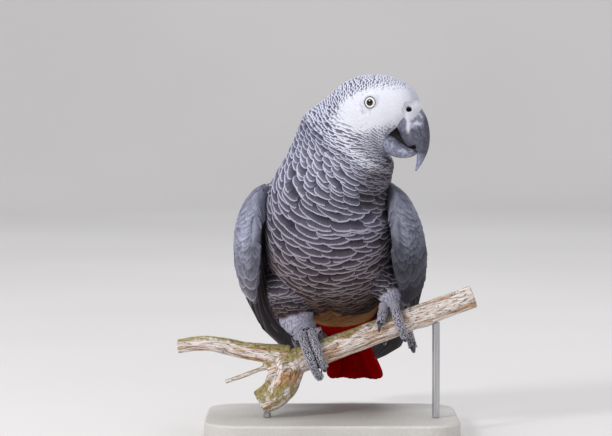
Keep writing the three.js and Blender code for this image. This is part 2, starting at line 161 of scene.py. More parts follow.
def section(origin, yaw, high_forward, high_up, low_forward, low_up, half):
    high = placed(origin, yaw, 0, high_forward, high_up)
    low = placed(origin, yaw, 0, low_forward, low_up)
    return [*(high + low) / 2, *high, *low, yaw, half]


# How far forward and up of its origin a section's top is, and its bottom, and half its width.
HEAD_SECTIONS = [
    (29.5, -4, 27, -9, 4),
    (32, 2.5, 24, -13, 12),
    (27.5, 11.5, 20.5, -17, 17),  # forehead and gape
    (17, 17.8, 14, -23, 20),
    (3.5, 20.4, 9.3, -30, 21.3),  # crown and cheeks
    (-10, 19.3, 8.7, -33.5, 22),
    (-23, 13.5, 9.6, -36.5, 23.5),
    (-34, 4.5, 11.5, -39, 25.5),  # nape
]
NECK_SECTIONS = [  # each after its origin and its yaw
    (at(11, -9, 142.5), 62, -31, 17, 32, -19, 29),
    (at(8, -8, 133), 50, -34, 14.5, 34, -16.5, 33),  # throat
    (at(4, -8, 123), 30, -36, 13, 37, -14.5, 36.5),
    (at(-1.5, -6, 111), 10, -35, 12, 37, -13.5, 40.5),
    (at(-2.5, -1, 94), -3, -32, 15, 37, -17, 43),  # shoulders
]
BODY_SECTIONS = [  # each after its origin's place back and up
    (8, 76, -31, 20, 36, -23.5, 44.5),  # breast
    (22, 58, -28.5, 22, 32.5, -25.5, 43.5),
    (40, 41, -23, 22, 25, -24.5, 38),  # belly
    (62, 27, -15.5, 18.5, 15.5, -18.5, 31),  # vent
    (84, 14.5, -7, 11, 7, -11, 25),  # tail coverts
    (112, 1, -3.5, 6, 3.5, -6, 19),
    (128, -8, -1.5, 2.6, 1.5, -2.6, 14),
]
FLESH = np.array(
    [section(HEAD, HEAD_YAW, *row) for row in HEAD_SECTIONS]
    + [section(*row) for row in NECK_SECTIONS]
    + [section(in_body(0, back, up), BODY_YAW, *row) for back, up, *row in BODY_SECTIONS]
)
CLEFT = Sizes(middle=14.9, reach=1.0, half=0.09, depth=3.5)  # between the thighs; half is in radians


def cleft(s, turn, half):
    """1 in the middle of the cleft, fading to its sides over so many radians as half."""
    off_middle = np.mod(turn + 1.5 * math.pi, FULL_TURN) - math.pi
    return bell(off_middle, 0, half) * bell(s, CLEFT.middle, CLEFT.reach)


def flesh(s, turn, lift):
    row = between(FLESH, s)
    high, low, yaw = row[:, 3:6], row[:, 6:9], np.radians(row[:, 9])
    left = np.stack([np.cos(yaw), np.sin(yaw), 0 * yaw], axis=1)
    lift = lift - CLEFT.depth * cleft(s, turn, CLEFT.half)
    wide = np.maximum(row[:, 10] + lift, 0.3) * np.cos(turn)
    tall = np.maximum(np.linalg.norm(high - low, axis=1) / 2 + lift, 0.3) * np.sin(turn)
    return row[:, :3] + left * wide[:, None] + unit(high - low) * tall[:, None]


WING = np.array([
    (49, -22, 79, 12, 3, 4, 2, 0),  # left, back, up, half height, thickness, lean, tilt, wrap
    (52.5, -16, 79, 29, 9.5, 5, 3, 3),
    (55, 8, 73.5, 40, 11, 11, 7, 9.5),  # forearm
    (52, 34, 57.5, 39.5, 10, 17.5, 13, 11),
    (43.2, 62, 35, 32, 8, 28.4, 15, 10),  # secondaries
    (28.7, 91, 12, 22, 6, 41.9, 14, 5),
    (22, 125, -9, 13, 4, 28, 19, 2),  # primaries
    (14, 153, -21, 5.5, 2, 30, 20, 0),
    (10, 165, -25, 1.5, 0.8, 30, 20, 0),
])


def wing_surface(side):
    def surface(s, turn, lift):
        row = between(WING, s)
        lean, tilt = np.radians(row[:, 5:7]).T
        tall = np.stack([-np.sin(lean), np.sin(tilt), np.cos(tilt)], axis=1)
        out = np.stack([np.cos(lean), 0 * lean, np.sin(lean)], axis=1)
        height = np.maximum(row[:, 3] + lift, 0.25) * np.sin(turn)
        across = np.maximum(row[:, 4] + lift, 0.25) * np.cos(turn) - row[:, 7] * np.sin(turn) ** 2
        left, back, up = (row[:, :3] + tall * height[:, None] + out * across[:, None]).T
        return in_body(side * left, back, up)

    return surface


def rows_in(place, rows):
    """Stations of a centre and a radius, from rows whose centres lie in another frame."""
    return np.array([[*place(*centre), radius] for *centre, radius in rows])


def tube_surface(rows, sideways):
    """A tube through stations of a centre and a radius. Sideways sets how its rings stand."""
    last = len(rows) - 1

    def surface(s, turn, lift):
        row = between(rows, s)
        ahead, behind = (between(rows, np.clip(s + step, 0, last))[:, :3] for step in (0.02, -0.02))
        along = unit(ahead - behind)
        across = unit(sideways - along * (along @ sideways)[:, None])
        third = np.cross(along, across)
        radius = np.maximum(row[:, 3] + lift, 0.15)[:, None]
        return row[:, :3] + radius * (across * np.cos(turn)[:, None] + third * np.sin(turn)[:, None])

    return surface, last


def frame_at(surface, s, turn):
    """The changes of the point with s and with turn, and unit vectors onwards across the rings,
    along them as the turn grows, and outwards."""
    e = 1e-3
    zero = 0 * s
    by_s = (surface(s + e, turn, zero) - surface(s - e, turn, zero)) / (2 * e)
    by_turn = (surface(s, turn + e, zero) - surface(s, turn - e, zero)) / (2 * e)
    aside = unit(by_turn)
    onwards = unit(by_s - aside * (by_s * aside).sum(1)[:, None])
    out = unit(np.cross(by_s, by_turn))
    outward = surface(s, turn, zero + 0.5) - surface(s, turn, zero)
    out *= np.where((out * outward).sum(1) < 0, -1, 1)[:, None]
    return by_s, by_turn, onwards, aside, out


def toward(surface, s, turn, direction):
    """The angle of a direction from the way onwards, towards the way in which the turn grows."""
    _, _, onwards, aside, _ = frame_at(surface, s, turn)
    return np.arctan2((aside * direction).sum(-1), (onwards * direction).sum(-1))


# ---- meshes


def linked(name, data):
    made = bpy.data.objects.new(name, data)
    bpy.context.scene.collection.objects.link(made)
    return made


def mesh_object(name, points, faces):
    """A smooth object from points in millimetres and an array of faces with as many corners each."""
    mesh = bpy.data.meshes.new(name)
    faces = np.asarray(faces)
    mesh.vertices.add(len(points))
    mesh.vertices.foreach_set("co", metres(points).ravel())
    mesh.loops.add(faces.size)
    mesh.loops.foreach_set("vertex_index", faces.ravel())
    mesh.polygons.add(len(faces))
    mesh.polygons.foreach_set("loop_start", np.arange(len(faces)) * faces.shape[1])
    mesh.polygons.foreach_set("use_smooth", np.ones(len(faces), bool))
    mesh.update(calc_edges=True)
    return linked(name, mesh)


def dressed(made, look, slot, *nodes):
    """Gives a piece its material, attaches it to the root and hides the solids that it replaces. The slot is
    not used.
    """
    made.data.materials.append(look)
    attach(made, "root")
    if nodes:
        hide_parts(*nodes)
    return made


def put(made, name, values):
    """Sets a point attribute: numbers, vectors or colours, by the shape and the name of the values."""
    values = np.asarray(values, float)
    kind, field = "FLOAT_VECTOR", "vector"
    if values.ndim == 1:
        kind, field = "FLOAT", "value"
    elif name in ("ground", "fringe"):
        kind, field = "FLOAT_COLOR", "color"
        values = np.column_stack([values, np.ones(len(values))])
    made.data.attributes.new(name, kind, "POINT").data.foreach_set(field, values.ravel())


def read(items, field, width):
    """A field of all the items of a mesh as rows of numbers."""
    flat = np.empty(len(items) * width)
    items.foreach_get(field, flat)
    return flat.reshape(-1, width)


def points_of(made):
    """An object's points in millimetres in the bird's frame."""
    return read(made.data.vertices, "co", 3) * 1000 - BIRD


def set_points(made, points):
    made.data.vertices.foreach_set("co", metres(points).ravel())
    made.data.update()


def ring_faces(rows, sides):
    """The quads between rings of points."""
    i, k = crossed(np.arange(rows - 1), np.arange(sides))
    j = (k + 1) % sides
    return np.stack([i * sides + k, i * sides + j, (i + 1) * sides + j, (i + 1) * sides + k], 1)


def around(sides):
    return np.linspace(0, FULL_TURN, sides, endpoint=False)


def closed_loft(surface, s, sides, lift=0.0):
    """The points and faces of a surface through rings at the places s, each end shut by a fan."""
    ss, tt = crossed(s, around(sides))
    rings = surface(ss, tt, lift(ss, tt) if callable(lift) else lift + 0 * ss)
    quads = ring_faces(len(s), sides)
    k = np.arange(sides)
    following = (k + 1) % sides
    last = len(rings) - sides
    start = np.stack([len(rings) + 0 * k, following, k], 1)
    end = np.stack([len(rings) + 1 + 0 * k, last + k, last + following], 1)
    hubs = [rings[:sides].mean(0), rings[-sides:].mean(0)]
    return np.concatenate([rings, hubs]), np.concatenate([quads[:, :3], quads[:, [0, 2, 3]], start, end])


def tube(stations, sideways, rings, sides, lift=0.0):
    surface, last = tube_surface(stations, sideways)
    return closed_loft(surface, np.linspace(0, last, rings), sides, lift)


def joined(parts):
    starts = np.cumsum([0] + [len(points) for points, _ in parts])
    faces = [faces + start for (_, faces), start in zip(parts, starts)]
    return np.concatenate([points for points, _ in parts]), np.concatenate(faces)


def facing_out(points, faces):
    """The faces turned so that the closed surface faces out."""
    a, b, c = (points[faces[:, k]] for k in range(3))
    volume = (a * np.cross(b, c)).sum()
    return points, faces if volume > 0 else faces[:, ::-1]


def remeshed(name, parts, voxel, smoothing):
    """One closed skin round the parts, which overlap."""
    raw = mesh_object(name + "_raw", *joined([facing_out(*part) for part in parts]))
    remesh = raw.modifiers.new("remesh", "REMESH")
    remesh.mode = "VOXEL"
    remesh.voxel_size = voxel * 0.001
    remesh.use_smooth_shade = True
    relax = raw.modifiers.new("relax", "SMOOTH")
    relax.factor = 0.5
    relax.iterations = smoothing
    mesh = bpy.data.meshes.new_from_object(raw.evaluated_get(bpy.context.evaluated_depsgraph_get()))
    mesh.name = name
    bpy.data.objects.remove(raw)
    return linked(name, mesh)


# ---- legs and branch

GAP = 0.4
LIMB = Sizes(start=-44, end=98, level=-2.7, slope=0.37, thick=9.6, thin=8.2)
DEPTHWISE = at(0, 1, 0)
SIDEWAYS = at(1, 0, 0)
THIGH_ACROSS = unit(at(0.3, 1, 0))


def limb_station(x):
    t = (x - LIMB.start) / (LIMB.end - LIMB.start)
    return at(x, 0, LIMB.level + LIMB.slope * x, mix(LIMB.thick, LIMB.thin, t))


BRANCH = {
    "perch_limb": np.array([limb_station(LIMB.start), limb_station(LIMB.end)]),
    "perch_stub": np.array([(-30, 0, -8, 8), (-60, -1, -4, 6.6), (-84, -2, 1, 5.6), (-107, -2, -1, 5.4)]),
    "perch_lower": np.array(
        [(-28, 0, -5, 5), (-30, 0, -12, 11.5), (-33, 1, -24, 12), (-39, 2, -34, 10.8), (-50, 3, -41, 9.2)]
    ),
    "perch_twig": np.array([(-42, -2, -14, 2.6), (-58, -4, -20, 2.2), (-74, -5, -25.5, 1.8)]),
}

TOE_RADIUS = 3.5
KNUCKLE = 2.2
CLAW = Sizes(root=1.9, tip=0.4, arch=1.6)
TOE_NAMES = ["outer_front", "inner_front", "outer_back", "inner_back"]
# A toe's from and to lie along X from the middle of the foot, its start and end go round the limb
# in degrees, its claw goes on by that many, and loose is how far its end stands off the bark.
# A thigh's last station lies in the flank, for the coat alone. Its fluff ends at station fluff_end.
FEET = {
    "right": Sizes(
        place=-17,
        toes=[
            (-3.4, 8.6, 84, -70, 34, 3.5),
            (3.2, 11.5, 84, -46, 40, 0),
            (-7.5, -1, 106, 200, 34, 0),
            (6.5, 12, 106, 208, 44, 0),
        ],
        heel=at(-20, 17, 11, 4.8),
        thigh=[
            (-15, 9, 7.5, 7.6),
            (-22.5, 9, 17, 12.8),
            (-26, 11, 33, 18),
            (-25, 15, 48, 20),
            (-22, 20, 78, 20.5),
        ],
        fluff_end=1.35,
    ),
    "left": Sizes(
        place=41,
        toes=[
            (1.5, 9, 84, -46, 44, 0),
            (-5, -8.2, 90, 28, 26, 0),
            (6.5, 15.5, 106, 240, 30, 11),
            (-2, -4, 106, 208, 44, 0),
        ],
        heel=at(47, 16, 33, 4.8),
        thigh=[(45, 8, 29.5, 6.8), (41, 8, 38, 11), (34, 11, 48, 16), (27, 16, 58, 19), (22, 21, 82, 20)],
        fluff_end=1.1,
    ),
}


def on_limb(x, angle, clear):
    *centre, radius = limb_station(x)
    a = math.radians(angle)
    rise = (radius + clear) * math.hypot(1, LIMB.slope) * math.sin(a)
    return centre + at(0, -(radius + clear) * math.cos(a), rise)


def toe_stations(foot, shape):
    start_x, end_x, start, end, _, loose = shape
    made = []
    for t in np.linspace(0, 1, 8):
        radius = TOE_RADIUS * (1 - 0.2 * t) * (1 + 0.08 * math.cos(4 * math.pi * t))
        x = foot.place + mix(start_x, end_x, t**1.4)
        clear = GAP + KNUCKLE * (1 - t) ** 2 + loose * t**2
        made.append([*on_limb(x, mix(start, end, t), radius + clear), radius])
    return np.array(made)


def claw_stations(foot, shape):
    start_x, end_x, start, end, claw, loose = shape
    turn = math.copysign(1, end - start)
    drift = 0.5 * (end_x - start_x) * claw / abs(end - start)
    made = []
    for t in np.linspace(0, 1, 6):
        radius = mix(CLAW.root, CLAW.tip, t)
        clear = mix(TOE_RADIUS * 0.8 + loose, CLAW.tip + loose * 0.6, t * t)
        arched = clear + CLAW.arch * math.sin(math.pi * t) + GAP
        x, angle = foot.place + end_x + drift * t, end + turn * (1.5 + claw * t)
        made.append([*on_limb(x, angle, arched), radius])
    return np.array(made)


def tarsus_stations(foot):
    sole = np.array([*on_limb(foot.place, 92, TOE_RADIUS + KNUCKLE), 4.4])
    middle = mix(sole, foot.heel, 0.5)
    middle[3] = sole[3]
    return np.array([sole, middle, foot.heel])


# ---- colours of the skin and coat

# Along the flesh's stations: the middle of a vane and its pale edge, below and above the body.
BELOW = [
    (1.0, (214, 215, 227), (228, 229, 239)),
    (3.0, (188, 189, 205), (226, 227, 239)),
    (5.0, (150, 150, 170), (244, 245, 254)),
    (6.5, (144, 143, 163), (244, 244, 254)),
    (8.0, (124, 122, 141), (222, 222, 238)),
    (9.5, (106, 104, 122), (198, 198, 216)),
    (11.5, (84, 79, 93), (176, 172, 189)),
    (13.0, (74, 65, 70), (152, 142, 149)),
    (14.2, (56, 43, 41), (106, 90, 86)),
    (15.0, (50, 37, 33), (90, 73, 67)),
    (15.1, (132, 90, 56), (158, 118, 80)),
    (16.2, (138, 92, 54), (164, 120, 78)),
    (16.4, (132, 8, 10), (150, 14, 16)),
    (19.0, (124, 2, 6), (142, 6, 10)),
]
ABOVE = [
    (1.0, (186, 187, 203), (206, 207, 222)),
    (2.4, (176, 177, 196), (220, 221, 236)),
    (4.0, (134, 135, 157), (228, 229, 243)),
    (7.0, (104, 104, 125), (200, 201, 219)),
    (9.0, (106, 105, 124), (196, 196, 214)),
    (11.0, (96, 94, 110), (160, 159, 176)),
    (14.0, (98, 96, 110), (146, 145, 160)),
    (15.4, (134, 133, 148), (174, 173, 188)),
    (16.3, (142, 140, 154), (178, 176, 190)),
    (16.7, (134, 8, 12), (152, 14, 17)),
    (19.0, (126, 3, 7), (144, 8, 12)),
]
FACE_WHITE = srgb(225, 226, 235)
FACE = Sizes(forward=7.0, up=-2.0, long=22, high=13.6)  # the white patch round the eye


def along_table(table, s, column):
    places = [row[0] for row in table]
    tones = np.array([srgb(*row[column]) for row in table])
    return np.stack([np.interp(s, places, tones[:, k]) for k in range(3)], axis=1)


def head_places(points):
    """How far left, forward and up of the middle of the head the points are."""
    local = points - HEAD
    return local @ left_of(HEAD_YAW), local @ facing(HEAD_YAW), local[:, 2]


def whiteness(points):
    left, forward, up = head_places(points)
    ahead = forward - FACE.forward
    along = ahead / FACE.long * np.where(ahead < 0, 1, 0.74)
    away = np.hypot(along, (up - FACE.up - 0.12 * ahead) / FACE.high)
    return (1 - smooth(0.72, 1.22, away + 0.04 * noise(points, 3))) * smooth(3, 10, np.abs(left))


def flesh_colours(s, turn, points):
    """The middle and the edge colour of vanes at these places, with painted shade on the throat."""
    upper = smooth(-0.25, 0.45, np.sin(turn))
    s = s + 0.7 * cleft(s, turn, 0.45)  # the buff and red begin sooner between the thighs
    white = whiteness(points)
    _, forward, up = head_places(points)
    # Painted shade: the throat just under the bill is darkened towards the dark tones below.
    throat = 0.75 * smooth(1, 8, forward) * smooth(-33, -38, up) * smooth(-70, -52, up)
    made = []
    # Dark is the tone of the painted throat shade, for the middle and for the edge.
    for column, dark, pale in ((1, srgb(70, 62, 66), 0.9), (2, srgb(122, 113, 120), 1.03)):
        colour = tint(along_table(BELOW, s, column), along_table(ABOVE, s, column), upper)
        made.append(tint(tint(colour, dark, throat), FACE_WHITE * pale, white))
    return made


# ---- skin

COAT_DEPTH = (
    [0, 1.5, 3, 5, 7, 8, 9, 10, 13, 15, 16, 17, 18, 19],
    [0.2, 0.4, 0.7, 0.9, 1.4, 2.0, 2.6, 3.2, 3.6, 3.4, 3.0, 2.2, 1.4, 0.9],
)
SKIN_VOXEL = 1.0
EYE = Sizes(radius=6, side=16, forward=5.4, up=1.4, opening=3.85)
CERE = Sizes(forward=28.5, up=-5.5, half=11.8, long=6.8, high=8.6)
NOSTRIL = Sizes(side=10.6, forward=29.6, up=-3.0, hole=1.95, deep=3.8)
# The mouth is coloured near black in the skin: partly the tongue's own dark, partly painted shade in the
# gape.
MOUTH = rows_in(  # the lining between the two halves of the bill, with the tongue in it
    in_head,
    [
        (0, 9, -20, 6.5),
        (0, 15, -20.5, 6),
        (0, 20, -23.5, 4.6),
        (0, 25.5, -27.8, 2.6),
        (0, 29.6, -28.8, 1.7),
        (0, 32, -29.4, 1.2),
    ],
)


def coat_depth(s):
    return np.interp(s, *COAT_DEPTH)


def cere_surface(s, turn, lift):
    """An ellipsoid with s from one side pole at 0 to the other at 1."""
    ring = np.sin(math.pi * s)
    left = (CERE.half + lift) * np.cos(math.pi * s)
    forward = CERE.forward + (CERE.long + lift) * ring * np.cos(turn)
    return in_head(left, forward, CERE.up + (CERE.high + lift) * ring * np.sin(turn))


def from_cere(points, wide, long, high):
    """1 on the cere's ellipsoid when it is grown by so much, less within it."""
    left, forward, up = head_places(points)
    across, along = left / (CERE.half + wide), (forward - CERE.forward) / (CERE.long + long)
    return across**2 + along**2 + ((up - CERE.up) / (CERE.high + high)) ** 2


def skin_parts():
    under_coat = lambda s, turn: -coat_depth(s) - 2.5 * cleft(s, turn, 0.3)
    under_coverts = lambda s, turn: -np.minimum(1.6, 0.45 * between(WING, s)[:, 4])
    parts = [closed_loft(flesh, np.linspace(0, 19, 96), 64, under_coat)]
    parts.append(closed_loft(cere_surface, np.linspace(0.02, 0.98, 28), 32))
    parts.append(tube(MOUTH, UP, 16, 24))
    for side in SIDES.values():
        parts.append(closed_loft(wing_surface(side), np.linspace(0, 7.6, 60), 40, under_coverts))
    for foot in FEET.values():
        parts.append(tube(rows_in(in_body, foot.thigh[:-1]), THIGH_ACROSS, 20, 32, -1.8))
        parts.append(tube(tarsus_stations(foot), SIDEWAYS, 12, 24, -0.35))
        parts += [tube(toe_stations(foot, shape), SIDEWAYS, 28, 20, -0.35) for shape in foot.toes]
    return parts


def refine(made, centres, radius, cuts):
    """Divides the faces within a distance of the centres, for the lids and nostrils."""
    bm = bmesh.new()
    bm.from_mesh(made.data)
    spots = [Vector(metres(c)) for c in centres]
    reach = radius * 0.001
    middle = lambda edge: (edge.verts[0].co + edge.verts[1].co) / 2
    near = [e for e in bm.edges if any((middle(e) - spot).length < reach for spot in spots)]
    bmesh.ops.subdivide_edges(bm, edges=near, cuts=cuts, use_grid_fill=True)
    bm.to_mesh(made.data)
    bm.free()


def from_axis(points, centre, axis):
    """How far the points lie out along an axis from its centre, and how far off it."""
    local = points - centre
    out = local @ axis
    return out, np.linalg.norm(local - out[:, None] * axis, axis=1)


def eye_centre(side, out=0):
    return in_head(side * (EYE.side + out), EYE.forward, EYE.up)


def from_eye(points, side):
    return from_axis(points, eye_centre(side), side * left_of(HEAD_YAW))


def nostril_centre(side):
    return in_head(side * NOSTRIL.side, NOSTRIL.forward, NOSTRIL.up)


def nostril_axis(side):
    forward, up = NOSTRIL.forward - CERE.forward, NOSTRIL.up - CERE.up
    left = side * NOSTRIL.side
    return unit(placed(0, HEAD_YAW, left / CERE.half**2, forward / CERE.long**2, up / CERE.high**2))


def shape_lids(points):
    """The skin opens over each eyeball in a rounded lid with a few shallow folds round it."""
    for side in SIDES.values():
        out, away = from_eye(points, side)
        ball = np.sqrt(np.maximum(EYE.radius**2 - away**2, 0))
        edge = away - EYE.opening
        crest = math.sqrt(EYE.radius**2 - EYE.opening**2) + 0.2
        lid = crest + 0.22 * bell(edge, 0.4, 0.35) - 0.12 * np.clip(edge - 0.5, 0, 9)
        folds = 0.08 * np.cos(FULL_TURN * edge / 1.15) * smooth(0.5, 1.2, edge) * (1 - smooth(2.4, 4, edge))
        outer = mix(lid + folds, out, smooth(1.0, 4.2, edge))
        shaped = mix(ball - 0.9, outer, smooth(-0.28, 0.1, edge))
        near = (out > 0) & (away < 9)
        points[near] += ((shaped - out)[:, None] * (side * left_of(HEAD_YAW)))[near]
    return points


def shape_nostrils(points):
    for side in SIDES.values():
        axis = nostril_axis(side)
        out, away = from_axis(points, nostril_centre(side), axis)
        hole = -NOSTRIL.deep * (1 - smooth(0.7, 1.2, away / NOSTRIL.hole))
        rim = 0.35 * bell(away, NOSTRIL.hole * 1.45, 0.55)
        near = (np.abs(out) < 4) & (away < 5)
        points[near] += ((hole + rim)[:, None] * axis)[near]
    return points


skin = remeshed("skin", skin_parts(), SKIN_VOXEL, 3)
refine(skin, [eye_centre(side, 4) for side in SIDES.values()], 8.5, 3)
refine(skin, [nostril_centre(side) for side in SIDES.values()], 4, 3)
set_points(skin, shape_nostrils(shape_lids(points_of(skin))))
skin.data.polygons.foreach_set("use_smooth", np.ones(len(skin.data.polygons), bool))


# ---- coat


def spread_out(points, reach):
    """The numbers of the points that no earlier one crowds within its reach."""
    kept, cells, cell = [], {}, reach.max()
    for i, (p, r) in enumerate(zip(points, reach)):
        key = tuple(np.floor(p / cell).astype(int))
        rivals = (j for d in product((-1, 0, 1), repeat=3) for j in cells.get(tuple(np.add(key, d)), ()))
        if all(math.dist(p, points[j]) > r for j in rivals):
            kept.append(i)
            cells.setdefault(key, []).append(i)
    return kept


def rows_of_roots(surface, s_from, s_to, spacing, turns=(0, FULL_TURN), jitter=0.06, wave=0.0):
    """Roots in staggered rows, and how far each row is from the next at them. Spacing gives the
    distances along and across for places and turns. Roots that crowd another are left out."""
    closed = turns[1] - turns[0] > 6.2
    ring = np.linspace(*turns, 241)
    middle = (ring[1:] + ring[:-1]) / 2
    found = []
    s, number, last = s_from, 0, 0
    while s < s_to:
        here = np.full(len(middle), s)
        along, across = spacing(here, middle)
        by_s, by_turn, onwards, _, _ = frame_at(surface, here, middle)
        by_turn = np.linalg.norm(by_turn, axis=1)
        climb = (by_s * onwards).sum(1)
        filled = np.concatenate([[0], np.cumsum(by_turn * np.diff(ring) / across)])
        count = max(3, int(round(filled[-1])))
        last = count = last if abs(count - last) < 0.13 * last else count
        places = (np.arange(count) + 0.5 * (number % 2) + (0 if closed else 0.25)) / count * filled[-1]
        turn = np.interp(places, filled, ring)
        step = (along / climb).min()
        wide = np.interp(turn, middle, across / by_turn)
        run = step * np.interp(turn, middle, climb)
        waves = wave * step * noise(surface(np.full(count, s), turn, 0 * turn), 14, 4)
        at_s = s + waves + step * jitter * rng.normal(size=count)
        found.append([at_s, turn + wide * jitter * rng.normal(size=count), run])
        s, number = s + step, number + 1
    found = np.concatenate(found, axis=1)
    points = surface(*found[:2], 0 * found[0])
    return found[:, spread_out(points, 0.42 * np.minimum(*spacing(*found[:2])))]


def even(along, across):
    """The same spacing everywhere."""
    return lambda s, turn: (along + 0 * s, across + 0 * s)


def grid_faces(count, rows, columns):
    """The quads of many grids of points, each of rows by columns."""
    r, c = crossed(np.arange(rows - 1), np.arange(columns - 1))
    corner = r * columns + c
    one = np.stack([corner, corner + 1, corner + columns + 1, corner + columns], 1)
    return (one[None] + (np.arange(count) * rows * columns)[:, None, None]).reshape(-1, 4)


def vane_shape(style):
    """Along and across the points of one vane, and how far along its outline lies at each."""
    t, v = crossed(style["rows"], style["columns"])
    half = mix(style.get("root", 0.6), 1, smooth(0, 0.5, t))
    outline = 1 - style["drop"] * (1 - np.sqrt(np.clip(1 - np.abs(v) ** style.get("blunt", 2.2), 0, 1)))
    return t, v, half * v, outline


def vanes(surface, roots, lie, size, lifts, shown, colours, style, atlas):
    """Vanes over a surface, with their roots at places and turns. Lie is their angle from the way
    onwards across the rings to that in which the turn grows. Size is their length and width. They
    rise from a depth below the surface to a lift of their tips, and about as much of each as shown
    stays in sight. Colours are those of the middle and of the edge."""
    s, turn = roots
    count = len(s)
    t, v, aside, outline = vane_shape(style)
    by_s, by_turn, onwards, aside_way, out = frame_at(surface, s, turn)
    down = onwards * np.cos(lie)[:, None] + aside_way * np.sin(lie)[:, None]
    g11, g12, g22 = (by_s * by_s).sum(1), (by_s * by_turn).sum(1), (by_turn * by_turn).sum(1)

    def in_surface(step):
        a, b = (step * by_s).sum(1), (step * by_turn).sum(1)
        return np.array([g22 * a - g12 * b, g11 * b - g12 * a]) / (g11 * g22 - g12**2)

    each = lambda values: np.broadcast_to(values, count)[:, None]
    length, width, deep, tip, shown = (each(values) for values in (*size, *lifts, shown))
    rag = style.get("rag", 0) * rng.normal(size=(count, len(t))) * (t == 1)
    y = length * (t * outline + rag)
    x = width / 2 * aside
    on, over = in_surface(down)[:, :, None] * y, in_surface(np.cross(out, down))[:, :, None] * x
    ss, tt = (start[:, None] + a + b for start, a, b in zip(roots, on, over))
    lift = mix(-deep, tip, (t * outline) ** style.get("rise", 1)) - style["cup"] * width * aside**2
    lift = lift + style.get("dome", 0) * width * (1 - v**2) * np.sin(math.pi * t)
    points = surface(ss.ravel(), tt.ravel(), lift.ravel()).reshape(count, len(t), 3)
    # None is kept that is stretched where the surface folds.
    kept = np.ptp(points, axis=1).max(axis=1) < 1.5 * (length + width)[:, 0]
    random = np.broadcast_to(rng.random(count)[:, None], y.shape)
    # How far in from the edge each point lies, by what shows; the looks fade the pale edge and lay painted
    # shade by it.
    inward = length * outline * (1 - t) / shown
    made = {
        "points": points,
        "ground": np.repeat(colours[0][:, None], len(t), axis=1),
        "fringe": np.repeat(colours[1][:, None], len(t), axis=1),
        "vane": np.stack([np.broadcast_to(v, y.shape), inward, random], 2),
        "barb": np.stack([x + 40 * random, y, 0 * y], 2),
        "uv": atlas(s, turn)[:, None] + np.stack([v / 2, t - 0.5], 1) * style["patch"],
    }
    made = {key: value[kept].reshape(-1, value.shape[2]) for key, value in made.items()}
    made["faces"] = grid_faces(kept.sum(), len(style["rows"]), len(style["columns"]))
    return made


coats = []


def coat(name, batches, look, slot, *nodes):
    """One piece of the coat from batches of vanes."""
    points, faces = joined([(b["points"], b["faces"]) for b in batches])
    made = mesh_object(name, points, faces)
    for key in ("ground", "fringe", "vane", "barb"):
        put(made, key, np.concatenate([b[key] for b in batches]))
    uv = np.clip(np.concatenate([b["uv"] for b in batches]), 0.001, 0.999)
    layer = made.data.uv_layers.new(name="OFBake")
    layer.data.foreach_set("uv", uv[faces.ravel()].ravel())
    coats.append(dressed(made, look, slot, *nodes))


def ring_atlas(low, high):
    """Unwraps a surface by its turns across and its stations up."""

    def atlas(s, turn):
        across = np.mod(turn / FULL_TURN, 1)
        return 0.01 + 0.98 * np.stack([across, np.clip((s - low) / (high - low), 0, 1)], 1)

    return atlas


# ---- materials


class Look:
    """A Principled material whose nodes are added one by one."""

    def __init__(self, name, roughness, **sockets):
        self.material = bpy.data.materials.new(name)
        self.material.use_nodes = True
        self.tree = self.material.node_tree
        self.surface = self.tree.nodes["Principled BSDF"]
        self.surface.inputs["Roughness"].default_value = roughness
        for key, value in sockets.items():
            self.surface.inputs[key.replace("_", " ")].default_value = value

    def node(self, kind, inputs, output=0, **settings):
        made = self.tree.nodes.new("ShaderNode" + kind)
        for key, value in settings.items():
            setattr(made, key, value)
        for key, value in inputs.items():
            self.link(value, made.inputs[key])
        return made.outputs[output]

    def link(self, value, socket):
        if isinstance(value, bpy.types.NodeSocket):
            self.tree.links.new(value, socket)
        else:
            socket.default_value = value

    def attribute(self, name, output="Color"):
        return self.node("Attribute", {}, output, attribute_name=name)

    def part(self, name, number):
        """One of the three numbers of a point attribute."""
        return self.node("SeparateXYZ", {0: self.attribute(name, "Vector")}, number)

    def math(self, operation, a, b):
        return self.node("Math", {0: a, 1: b}, operation=operation)

    def times(self, a, b):
        return self.math("MULTIPLY", a, b)

    def mixed(self, factor, a, b, blend="MIX"):
        """Mixes two colours, each a socket or from 0 to 255 a channel."""
        a, b = ((*srgb(*tone).tolist(), 1.0) if isinstance(tone, tuple) else tone for tone in (a, b))
        return self.node("Mix", {0: factor, 6: a, 7: b}, 2, data_type="RGBA", blend_type=blend)

    def blend(self, value, low, high, a, b):
        """Goes from one colour to the other as the value goes from low to high."""
        return self.mixed(self.ramp(value, low, high), a, b)

    def shaded(self, level, colour):
        """The colour made lighter or darker by a level round 1."""
        grey = self.node("CombineXYZ", {0: level, 1: level, 2: level})
        return self.mixed(1.0, colour, grey, "MULTIPLY")

    def ramp(self, value, low, high, to_low=0.0, to_high=1.0):
        inputs = {0: value, 1: low, 2: high, 3: to_low, 4: to_high}
        return self.node("MapRange", inputs, interpolation_type="SMOOTHSTEP")

    def place(self, scale=(1, 1, 1)):
        """The place on the piece in its own frame, in metres times the scale."""
        return self.scaled(self.node("TexCoord", {}, "Object"), scale)

    def scaled(self, vector, scale):
        return self.node("VectorMath", {0: vector, 1: scale}, operation="MULTIPLY")

    def noise(self, vector, scale, detail=2.0, roughness=0.5):
        inputs = {"Vector": vector, "Scale": scale, "Detail": detail, "Roughness": roughness}
        return self.node("TexNoise", inputs)

    def grain(self, size, detail=2.0, roughness=0.5, stretch=(1, 1, 1)):
        """Noise whose lumps have about that size in metres."""
        return self.noise(self.place(stretch), 0.6 / size, detail, roughness)

    def bump(self, height, distance, strength, over=None):
        inputs = {"Height": height, "Distance": distance, "Strength": strength}
        return self.node("Bump", {**inputs, "Normal": over} if over else inputs)

    def finish(self, colour, normal, roughness=None):
        for value, name in ((colour, "Base Color"), (normal, "Normal"), (roughness, "Roughness")):
            if value:
                self.link(value, self.surface.inputs[name])
        return self.material


